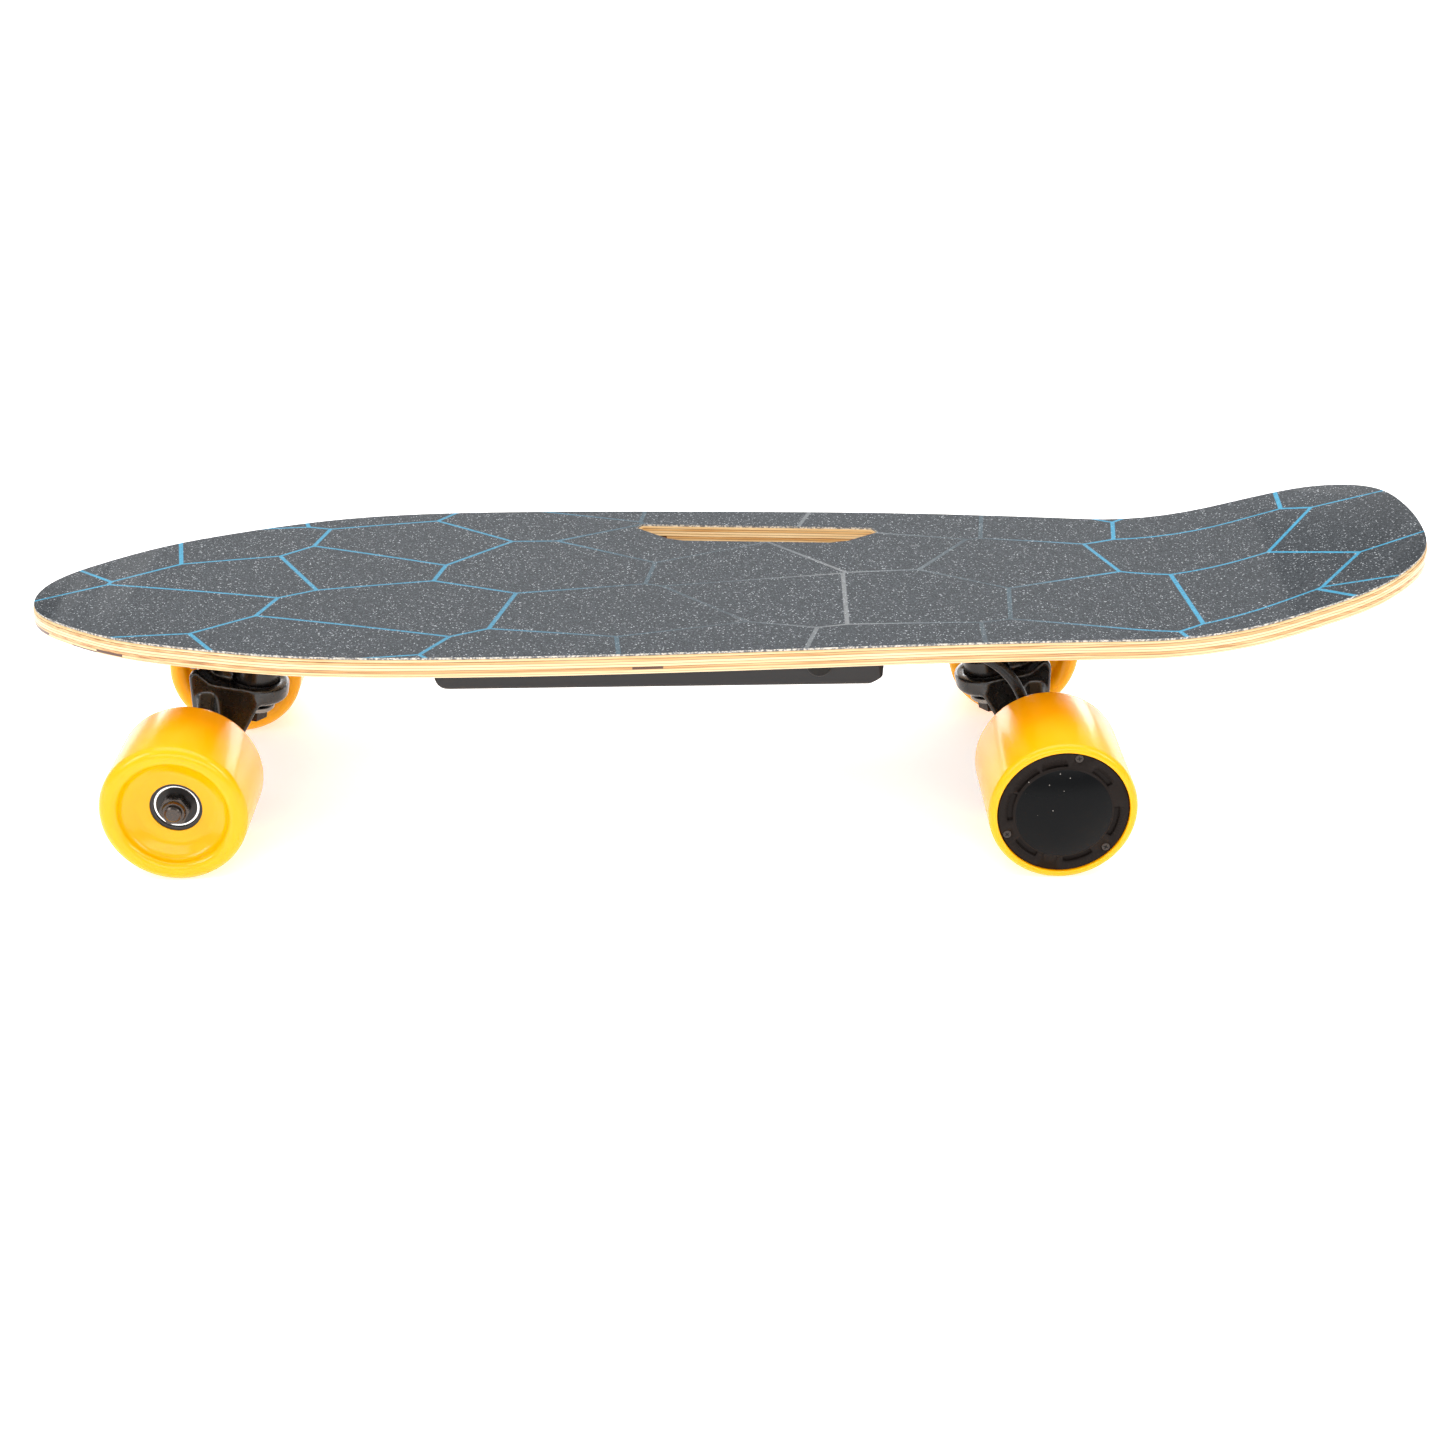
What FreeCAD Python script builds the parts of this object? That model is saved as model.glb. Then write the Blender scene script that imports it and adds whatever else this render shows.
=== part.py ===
import FreeCAD, Part
import Sketcher
import math
import os
import re

# Electric skateboard: a kicktail deck on two sprung trucks, three plain wheels and one hub motor wheel.
# The origin is on the ground under the middle of the deck. The tail is at +X and the top is at +Z.

Vector = FreeCAD.Vector
doc = FreeCAD.newDocument("electric_skateboard")

# Driving dimensions, in millimetres and degrees
DIMENSIONS = [
    ("deck_length", 685, "nose tip to tail tip"),
    ("deck_width", 192, "widest part of the deck"),
    ("deck_top", 109, "height of the flat middle of the wood"),
    ("deck_thickness", 9.5, "seven maple plies"),
    ("deck_edge", 2, "rounding along the deck's edges"),
    ("tape_thickness", 1, "grip tape"),
    ("tape_inset", 0.8, "bare wood outside the tape"),
    ("flat_front", -124, "front end of the flat middle"),
    ("flat_rear", 56, "rear end of the flat middle"),
    ("camber_radius", 4200, "gentle drop towards both ends"),
    ("kick_start", 193, "where the tail starts to rise"),
    ("kick_radius", 235, "bend into the kicktail"),
    ("kick_angle", 15.8, "slope of the kicktail"),
    ("wheelbase", 418, "between the axles"),
    ("rear_axle_x", 157.5, "rear axle from the middle of the deck"),
    ("wheel_radius", 35, "all four wheels"),
    ("wheel_width", 51, "plain wheel"),
    ("front_width", 212.8, "over the outer faces of the front wheels"),
    ("rear_width", 230, "over the outer faces of the rear wheels"),
    ("lip_radius", 5, "rounding of a plain wheel's lips"),
    ("bowl_radius", 26, "mouth of the recess in a wheel's face"),
    ("core_radius", 13.5, "hard core inside the tyre"),
    ("bearing_outer", 11, "outer radius of a 608 bearing"),
    ("bearing_inner", 4, "bore radius of a 608 bearing"),
    ("bearing_width", 7, "width of a 608 bearing"),
    ("spacer_length", 10, "tube between two bearings"),
    ("pack_outer", 14.5, "outer bearing's face from the wheel's middle"),
    ("axle_radius", 3.97, "8 mm axle with its running clearance"),
    ("washer_thickness", 1, "speed washer"),
    ("face_gap", 0.05, "side play at each rotating face"),
    ("nut_flats", 12.7, "across the flats of an axle nut"),
    ("nut_height", 6.5, "axle nut"),
    ("plate_top", 92, "top of both baseplates"),
    ("plate_thickness", 5, "baseplate"),
    ("plate_length", 84, "baseplate along the board"),
    ("plate_width", 56, "baseplate across the board"),
    ("plate_shift", -8, "middle of the baseplate from the axle, outboard positive"),
    ("bolt_pitch_long", 53.98, "truck screws along the board"),
    ("bolt_pitch_across", 41.28, "truck screws across the board"),
    ("ring_x", -22, "centre of the bushing seat from the axle"),
    ("ring_z", 54, "height of the bushing seat's centre"),
    ("ring_radius", 17.5, "outside of the bushing seat"),
    ("ring_half", 5, "half the thickness of the bushing seat"),
    ("kingpin_lean", 11, "kingpin from the vertical"),
    ("steer_rise", 42, "steering axis above the horizontal"),
    ("pivot_reach", 34, "bushing seat to pivot ball"),
    ("hanger_radius", 9, "arms of the hanger"),
    ("body_width", 35, "middle of the hanger"),
    ("arm_taper", 40, "where the hanger's arms turn round"),
    ("kingpin_radius", 4.75, "kingpin shank"),
    ("bushing_radius", 12, "bushings"),
    ("motor_width", 61.5, "hub motor wheel"),
    ("can_radius", 29.3, "outside of the motor's steel can"),
    ("cover_radius", 31, "motor cover"),
    ("stator_radius", 23.3, "motor stator"),
    ("shaft_radius", 7.5, "fixed motor shaft"),
    ("tray_front", -144, "front end of the enclosure at its rim"),
    ("tray_rear", 80, "rear end of the enclosure at its rim"),
    ("tray_half_width", 43, "half the enclosure's width at its rim"),
    ("tray_top", 98.5, "rim of the enclosure"),
    ("tray_bottom", 67.5, "underside of the enclosure"),
    ("tray_wall", 2.5, "wall of the enclosure"),
    ("tray_draft", 5, "draft of the enclosure's walls"),
    ("cell_radius", 9.1, "battery cell"),
    ("cell_length", 65, "battery cell"),
    ("cell_pitch", 18.6, "between two cells"),
    ("cable_radius", 2.75, "motor cable"),
]

# Half widths of the deck, as parts of its width, at parts of its length from the nose
OUTLINE = [
    (0.0102, 0.120), (0.0358, 0.213), (0.0755, 0.312), (0.1327, 0.398), (0.2022, 0.468), (0.2942, 0.499),
    (0.4270, 0.494), (0.5701, 0.470), (0.7131, 0.437), (0.8241, 0.412), (0.8737, 0.404), (0.9175, 0.3875),
    (0.9467, 0.3625), (0.9686, 0.3167), (0.9847, 0.258), (0.9939, 0.190), (0.9984, 0.104),
]

sheet = doc.addObject("Spreadsheet::Sheet", "Dims")
for row, (alias, value, meaning) in enumerate(DIMENSIONS, start=1):
    sheet.set("A%d" % row, meaning)
    sheet.set("B%d" % row, str(value))
    sheet.setAlias("B%d" % row, alias)
doc.recompute()
ALIASES = set(alias for alias, value, meaning in DIMENSIONS)


def bound(expression):
    """An expression on the sheet's cells, with each dimension's name led by the sheet's."""
    return re.sub(r"[a-z][a-z0-9_]*", lambda m: "Dims." + m.group(0) if m.group(0) in ALIASES else m.group(0),
                  str(expression))


def size(expression):
    """The value of an expression on the sheet's cells."""
    return float(sheet.evalExpression(bound(expression)))


def new_body(label, compound=False):
    """A body for one sub-part; a group of like pieces may hold several solids."""
    body = doc.addObject("PartDesign::Body", label)
    body.Label = label
    body.AllowCompound = compound
    return body


def new_sketch(body, name, role="XY_Plane", offset="0"):
    """A sketch on one of the body's own planes, moved along the plane's normal."""
    sketch = body.newObject("Sketcher::SketchObject", body.Label + "_" + name)
    sketch.AttachmentSupport = [([f for f in body.Origin.OriginFeatures if f.Role == role][0], "")]
    sketch.MapMode = "FlatFace"
    sketch.setExpression("AttachmentOffset.Base.z", bound(offset))
    return sketch


def outline(sketch, points):
    """A closed outline. A point is (x, y), or (x, y, turn, radius) where an arc leads on to the next point."""
    first = len(sketch.Geometry)
    count = len(points)
    corners = [Vector(size(p[0]), size(p[1]), 0) for p in points]
    ends = []
    for i, point in enumerate(points):
        start, end = corners[i], corners[(i + 1) % count]
        if len(point) == 2:
            sketch.addGeometry(Part.LineSegment(start, end))
            ends.append((1, 2))
            continue
        # an arc is kept running anticlockwise, so a clockwise one is drawn from its end
        anticlockwise = point[2] == "ccw"
        ends.append((1, 2) if anticlockwise else (2, 1))
        a, b = (start, end) if anticlockwise else (end, start)
        radius = size(point[3])
        half = (b - a) * 0.5
        left = Vector(-half.y, half.x, 0).normalize()
        centre = a + half + left * math.sqrt(max(radius ** 2 - half.Length ** 2, 0))
        from_angle = math.atan2(a.y - centre.y, a.x - centre.x)
        to_angle = math.atan2(b.y - centre.y, b.x - centre.x)
        if to_angle < from_angle:
            to_angle += 2 * math.pi
        sketch.addGeometry(Part.ArcOfCircle(Part.Circle(centre, Vector(0, 0, 1), radius), from_angle, to_angle))
        number = sketch.addConstraint(Sketcher.Constraint("Radius", first + i, radius))
        sketch.setExpression("Constraints[%d]" % number, bound(point[3]))
    for i, point in enumerate(points):
        here = ends[i][0]
        before = (i - 1) % count
        sketch.addConstraint(Sketcher.Constraint("Coincident", first + before, ends[before][1], first + i, here))
        for kind, text, value in (("DistanceX", point[0], corners[i].x), ("DistanceY", point[1], corners[i].y)):
            number = sketch.addConstraint(Sketcher.Constraint(kind, -1, 1, first + i, here, value))
            sketch.setExpression("Constraints[%d]" % number, bound(text))


def circle(sketch, x, y, radius):
    """A circle whose centre and radius follow the sheet."""
    centre = Vector(size(x), size(y), 0)
    number = sketch.addGeometry(Part.Circle(centre, Vector(0, 0, 1), size(radius)))
    constraint = sketch.addConstraint(Sketcher.Constraint("Radius", number, size(radius)))
    sketch.setExpression("Constraints[%d]" % constraint, bound(radius))
    for kind, text, value in (("DistanceX", x, centre.x), ("DistanceY", y, centre.y)):
        constraint = sketch.addConstraint(Sketcher.Constraint(kind, -1, 1, number, 3, value))
        sketch.setExpression("Constraints[%d]" % constraint, bound(text))


def rectangle(sketch, x_low, y_low, x_high, y_high):
    """A rectangle between two corners."""
    outline(sketch, [(x_low, y_low), (x_high, y_low), (x_high, y_high), (x_low, y_high)])


def feature(body, kind, name, sketch, length=None, middle=False, back=False):
    """A pad or pocket of a sketch."""
    made = body.newObject("PartDesign::" + kind, body.Label + "_" + name)
    made.Profile = sketch
    made.Midplane = middle
    made.Reversed = back
    if length is None:
        made.Type = "ThroughAll"
    else:
        made.setExpression("Length", bound(length))
    return made


def revolved(body, name, sketch, kind="Revolution", axis="V_Axis"):
    """A full turn of a sketch about one of its axes."""
    made = body.newObject("PartDesign::" + kind, body.Label + "_" + name)
    made.Profile = sketch
    made.ReferenceAxis = (sketch, [axis])
    made.Angle = 360
    return made


def turned(label, points, role="XY_Plane"):
    """A body of revolution about the sketch's vertical axis, from its outline of (radius, place)."""
    body = new_body(label)
    sketch = new_sketch(body, "section", role)
    outline(sketch, points)
    revolved(body, "turn", sketch)
    return body


def repeated(body, name, original, count, axis_role, angle=360):
    """A polar pattern about one of the body's own axes."""
    pattern = body.newObject("PartDesign::PolarPattern", body.Label + "_" + name)
    pattern.Originals = [original]
    pattern.Axis = ([f for f in body.Origin.OriginFeatures if f.Role == axis_role][0], [""])
    pattern.Angle = angle
    pattern.Occurrences = count
    body.Tip = pattern
    return pattern


def rounded(body, name, base, radius, chosen, kind="Fillet"):
    """A fillet or chamfer on the edges of the body that the test picks."""
    doc.recompute()
    edges = ["Edge%d" % (i + 1) for i, edge in enumerate(base.Shape.Edges) if chosen(edge)]
    if not edges:
        raise RuntimeError("no edge to round on " + body.Label)
    made = body.newObject("PartDesign::" + kind, body.Label + "_" + name)
    made.Base = (base, edges)
    made.setExpression("Radius" if kind == "Fillet" else "Size", bound(radius))
    return made


def place(body, x="0", y="0", z="0", axis=(0, 0, 1), angle="0"):
    """Puts a sub-part in the board's frame."""
    body.Placement = FreeCAD.Placement(Vector(size(x), size(y), size(z)),
                                       FreeCAD.Rotation(Vector(*axis), size(angle)))
    for letter, text in zip("xyz", (x, y, z)):
        body.setExpression("Placement.Base." + letter, bound(text))
    return body


# Places along the board. A truck's own frame has its axle above the origin and outboard at +x.
REAR_X = "rear_axle_x"
FRONT_X = "(rear_axle_x - wheelbase)"
AXLE_Z = "wheel_radius"
TRUCKS = [("front", FRONT_X, -1), ("rear", REAR_X, 1)]

# Deck: seven plies of maple, flat in the middle, with a camber towards both ends and a kicktail
CAMBER_REAR = "asin((kick_start - flat_rear) / camber_radius)"
KICK_BASE = "(deck_top - camber_radius * (1 - cos(%s)))" % CAMBER_REAR
KICK_END_X = "(kick_start + kick_radius * (sin(%s) + sin(kick_angle)))" % CAMBER_REAR
KICK_END_Z = "(%s + kick_radius * (cos(%s) - cos(kick_angle)))" % (KICK_BASE, CAMBER_REAR)
DECK_END = "(deck_length / 2 + 5)"
NOSE_ANGLE = "asin((flat_front + %s) / camber_radius)" % DECK_END


def deck_line(depth):
    """The side view's curve at a depth under the wood's top, from the nose to past the tail's tip."""
    camber = "(camber_radius - %s)" % depth
    kick = "(kick_radius + %s)" % depth
    flat = "deck_top - %s" % depth
    nose_x = "flat_front - %s * sin(%s)" % (camber, NOSE_ANGLE)
    nose_z = "%s - %s * (1 - cos(%s))" % (flat, camber, NOSE_ANGLE)
    start_x = "flat_rear + %s * sin(%s)" % (camber, CAMBER_REAR)
    start_z = "%s - %s * (1 - cos(%s))" % (flat, camber, CAMBER_REAR)
    bend_x = "%s + %s * sin(kick_angle)" % (KICK_END_X, depth)
    bend_z = "%s - %s * cos(kick_angle)" % (KICK_END_Z, depth)
    tail_z = "%s - %s / cos(kick_angle) + (%s - %s) * tan(kick_angle)" % (KICK_END_Z, depth, DECK_END, KICK_END_X)
    return [(nose_x, nose_z, camber), ("flat_front", flat, None), ("flat_rear", flat, camber),
            (start_x, start_z, kick), (bend_x, bend_z, None), (DECK_END, tail_z, None)]


def deck_outline(sketch, inset):
    """The plan view: one smooth closed curve through the half widths on both sides."""
    length, width = size("deck_length"), size("deck_width")
    side = [Vector((part - 0.5) * length, half * width, 0) for part, half in OUTLINE]
    nose = [Vector(-length / 2, 0, 0)]
    tail = [Vector(length / 2, 0, 0)]
    loop = nose + side + tail + [Vector(p.x, -p.y, 0) for p in reversed(side)]
    curve = Part.BSplineCurve()
    curve.interpolate(loop, PeriodicFlag=True)
    if inset:
        drawn_in = []
        for point in loop:
            along = curve.tangent(curve.parameter(point))[0]
            inward = Vector(-along.y, along.x, 0)
            if inward.dot(point) > 0:
                inward = inward * -1
            drawn_in.append(point + inward * inset)
        curve = Part.BSplineCurve()
        curve.interpolate(drawn_in, PeriodicFlag=True)
    sketch.addGeometry(curve)


def slot_outline(sketch, grow):
    """The handle slot near the +Y edge: a long lozenge with slanted, rounded ends."""
    g = grow
    outline(sketch, [
        ("-40.8 - %s" % g, "73.8 + %s" % g), ("-43.9 - %s" % g, "69.6"), ("-27.5 - %s" % g, "53.8 - %s" % g),
        ("-19", "50.3 - %s" % g), ("56", "44.9 - %s" % g), ("65.5", "47.2 - %s" % g),
        ("81.2 + %s" % g, "59.4 - %s" % g), ("78.4 + %s" % g, "64.3 + %s" % g)])


def deck_layer(label, top, bottom, inset, grow):
    """One layer of the deck between two depths under the wood's top, cut to the plan and the slot."""
    body = new_body(label)
    side = new_sketch(body, "side", "XZ_Plane")
    upper = deck_line(top)
    lower = deck_line(bottom)
    points = []
    for i, (x, z, radius) in enumerate(upper):
        if radius is None:
            points.append((x, z))
        else:
            points.append((x, z, "ccw" if i == 3 else "cw", radius))
    for i, (x, z, radius) in reversed(list(enumerate(lower))):
        leading = lower[i - 1][2] if i > 0 else None
        if leading is None:
            points.append((x, z))
        else:
            points.append((x, z, "cw" if i - 1 == 3 else "ccw", leading))
    outline(side, points)
    feature(body, "Pad", "blank", side, "deck_width + 20", middle=True)
    plan = new_sketch(body, "plan")
    rectangle(plan, "-deck_length", "-deck_width", "deck_length", "deck_width")
    deck_outline(plan, inset)
    trim = feature(body, "Pocket", "trim", plan)
    trim.Midplane = True
    slot = new_sketch(body, "slot")
    slot_outline(slot, grow)
    last = feature(body, "Pocket", "handle", slot)
    last.Midplane = True
    return body, last


def over_plan(edge):
    """True on the long edges above the deck's plan curve, top and bottom."""
    for part in (0.1, 0.5, 0.9):
        point = edge.valueAt(edge.FirstParameter + part * (edge.LastParameter - edge.FirstParameter))
        flat = Part.Vertex(point.x, point.y, 0)
        if flat.distToShape(DECK_PLAN)[0] > 0.05:
            return False
    box = edge.BoundBox
    return box.XLength + box.YLength > 1


def deck_underside(x, flat_end):
    """Height of the wood's underside at a place along the cambered part of the deck."""
    under = "(camber_radius - deck_thickness)"
    return "(deck_top - deck_thickness - %s * (1 - cos(asin((%s - %s) / %s))))" % (under, x, flat_end, under)


# Screws into the deck: four through each baseplate and six through the enclosure, as (x, y, wood's underside)
TRUCK_BOLTS = []
for side, axle_x, outboard in TRUCKS:
    for along in (-1, 1):
        bolt_x = "(%s + %d * plate_shift + %d * bolt_pitch_long / 2)" % (axle_x, outboard, along)
        for across in (-1, 1):
            TRUCK_BOLTS.append((bolt_x, "%d * bolt_pitch_across / 2" % across,
                                deck_underside(bolt_x, "flat_rear" if outboard > 0 else "flat_front")))
TRAY_BOLTS = []
for bolt_x in ("(tray_front + 8.5)", "(tray_rear - 10)"):
    for bolt_y in ("-31.5", "0", "31.5"):
        TRAY_BOLTS.append((bolt_x, bolt_y, "(deck_top - deck_thickness)"))
INSERT_DEPTH = "6.5"


deck, deck_cut = deck_layer("deck", "0", "deck_thickness", 0, "0")
doc.recompute()
DECK_PLAN = doc.getObject("deck_plan").Geometry[4].toShape()
rounded(deck, "edge", deck_cut, "deck_edge", over_plan)
for number, (x, y, underside) in enumerate(TRUCK_BOLTS + TRAY_BOLTS):
    seat = new_sketch(deck, "insert_seat%d" % number, "XY_Plane", "%s + %s" % (underside, INSERT_DEPTH))
    circle(seat, x, y, "4")
    feature(deck, "Pocket", "insert_hole%d" % number, seat, "12")

# Grip tape: a thin gritty sheet glued over the whole top, cut back a little from the edge and the slot
tape, tape_cut = deck_layer("grip_tape", "-tape_thickness", "0", size("tape_inset"), "0.6")


def riser_pad(side, axle_x, outboard):
    """Hard rubber pad between the cambered deck and a level baseplate, with four screw holes."""
    body = new_body(side + "_riser_pad")
    section = new_sketch(body, "section", "XZ_Plane")
    middle = "(%s + %d * plate_shift)" % (axle_x, outboard)
    flat_end = "flat_rear" if outboard > 0 else "flat_front"
    under = "(camber_radius - deck_thickness)"
    low = "(%s - plate_length / 2)" % middle
    high = "(%s + plate_length / 2)" % middle
    top = "deck_top - deck_thickness - %s * (1 - cos(asin((%s - %s) / %s)))"
    outline(section, [
        (low, "plate_top"), (high, "plate_top"),
        (high, top % (under, high, flat_end, under), "ccw", under),
        (low, top % (under, low, flat_end, under))])
    pad = feature(body, "Pad", "block", section, "plate_width + 2", middle=True)
    rounded(body, "corners", pad, "6", lambda e: abs(e.BoundBox.ZLength - e.Length) < 1e-6)
    holes = new_sketch(body, "holes")
    for along in (-1, 1):
        for across in (-1, 1):
            circle(holes, "%s + %d * bolt_pitch_long / 2" % (middle, along),
                   "%d * bolt_pitch_across / 2" % across, "2.7")
    cut = feature(body, "Pocket", "bolt_holes", holes)
    cut.Midplane = True


def tilted_sketch(body, name, x, z, angle, offset="0"):
    """A sketch on the XZ plane whose vertical axis leans outboard by the angle from a point of the truck."""
    sketch = new_sketch(body, name, "XZ_Plane", offset)
    sketch.setExpression("AttachmentOffset.Base.x", bound(x))
    sketch.setExpression("AttachmentOffset.Base.y", bound(z))
    sketch.AttachmentOffset = FreeCAD.Placement(sketch.AttachmentOffset.Base,
                                                FreeCAD.Rotation(Vector(0, 0, 1), -size(angle)))
    return sketch


def baseplate(side, axle_x, outboard):
    """Cast baseplate: a drilled plate, a boss that holds the kingpin and a barrel that holds the pivot cup."""
    body = new_body(side + "_baseplate")
    plate = new_sketch(body, "plan", "XY_Plane", "plate_top - plate_thickness")
    rectangle(plate, "plate_shift - plate_length / 2", "-plate_width / 2",
              "plate_shift + plate_length / 2", "plate_width / 2")
    pad = feature(body, "Pad", "plate", plate, "plate_thickness")
    rounded(body, "corners", pad, "7", lambda e: abs(e.BoundBox.ZLength - e.Length) < 1e-6)
    boss = tilted_sketch(body, "boss", "ring_x", "ring_z", "-kingpin_lean")
    outline(boss, [("0", "15"), ("11.5", "15"), ("11.8", "20"), ("14", "34"), ("0", "34")])
    revolved(body, "kingpin_boss", boss)
    barrel = tilted_sketch(body, "barrel", "ring_x", "ring_z", "90 - steer_rise")
    outline(barrel, [("0", "28"), ("11", "28"), ("12.3", "29.5"), ("12.3", "46"), ("0", "46")])
    revolved(body, "pivot_barrel", barrel)
    web = new_sketch(body, "web", "XZ_Plane")
    outline(web, [("-12", "89"), ("9", "89"), ("17", "89"), ("10", "76"), ("-6", "84")])
    feature(body, "Pad", "ribs", web, "8", middle=True)
    top = new_sketch(body, "top", "XY_Plane", "plate_top")
    rectangle(top, "-100", "-60", "100", "60")
    trim = feature(body, "Pocket", "trim", top, "20")
    trim.Reversed = True
    cup = tilted_sketch(body, "cup_seat", "ring_x", "ring_z", "90 - steer_rise")
    outline(cup, [("0", "20"), ("9", "20"), ("9", "41"), ("0", "41")])
    revolved(body, "cup_seat_cut", cup, "Groove")
    bore = tilted_sketch(body, "kingpin_bore", "ring_x", "ring_z", "-kingpin_lean")
    outline(bore, [("0", "10"), ("kingpin_radius", "10"), ("kingpin_radius", "31"), ("8", "31"), ("8", "60"),
                   ("0", "60")])
    revolved(body, "kingpin_bore_cut", bore, "Groove")
    holes = new_sketch(body, "holes", "XY_Plane", "plate_top")
    for along in (-1, 1):
        for across in (-1, 1):
            circle(holes, "plate_shift + %d * bolt_pitch_long / 2" % along,
                   "%d * bolt_pitch_across / 2" % across, "2.7")
    feature(body, "Pocket", "bolt_holes", holes, "10")
    place(body, axle_x, "0", "0", angle="0" if outboard > 0 else "180")


def on_kingpin(label, axle_x, outboard, points):
    """A round piece on the kingpin; its outline's heights are counted up from the bushing seat's centre."""
    body = turned(label, points, "XZ_Plane")
    place(body, "%s + %d * ring_x" % (axle_x, outboard), "0", "ring_z", (0, 1, 0), "%d * kingpin_lean" % -outboard)
    return body


def hexagon(sketch, flats):
    """A hexagon across its flats about the sketch's origin."""
    outline(sketch, [("%s / sqrt(3) * cos(%d)" % (flats, turn), "%s / sqrt(3) * sin(%d)" % (flats, turn))
                     for turn in range(0, 360, 60)])


def rings(label, spans, inner, outer):
    """Like flat rings in one node, about the node's Y axis, each between two places along it."""
    body = new_body(label, compound=True)
    for number, (low, high) in enumerate(spans):
        sketch = new_sketch(body, "ring%d" % number)
        outline(sketch, [(inner, low), (outer, low), (outer, high), (inner, high)])
        revolved(body, "turn%d" % number, sketch)
    return body


# The motor cable: where it runs, from inside the enclosure to its collar on the rear hanger, in the board's frame
CABLE_RUN = [("72", "-20", "83"), ("99", "-20", "83"), ("121", "-36", "83.6"), ("135", "-41.5", "78"),
             ("145.5", "-45", "66"), ("152.8", "-45", "44.1")]
CABLE_FOOT_X = "(152 - rear_axle_x)"
CABLE_FOOT_Z = "46.5"
CABLE_LEAN = "-atan(1 / 3)"


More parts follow.
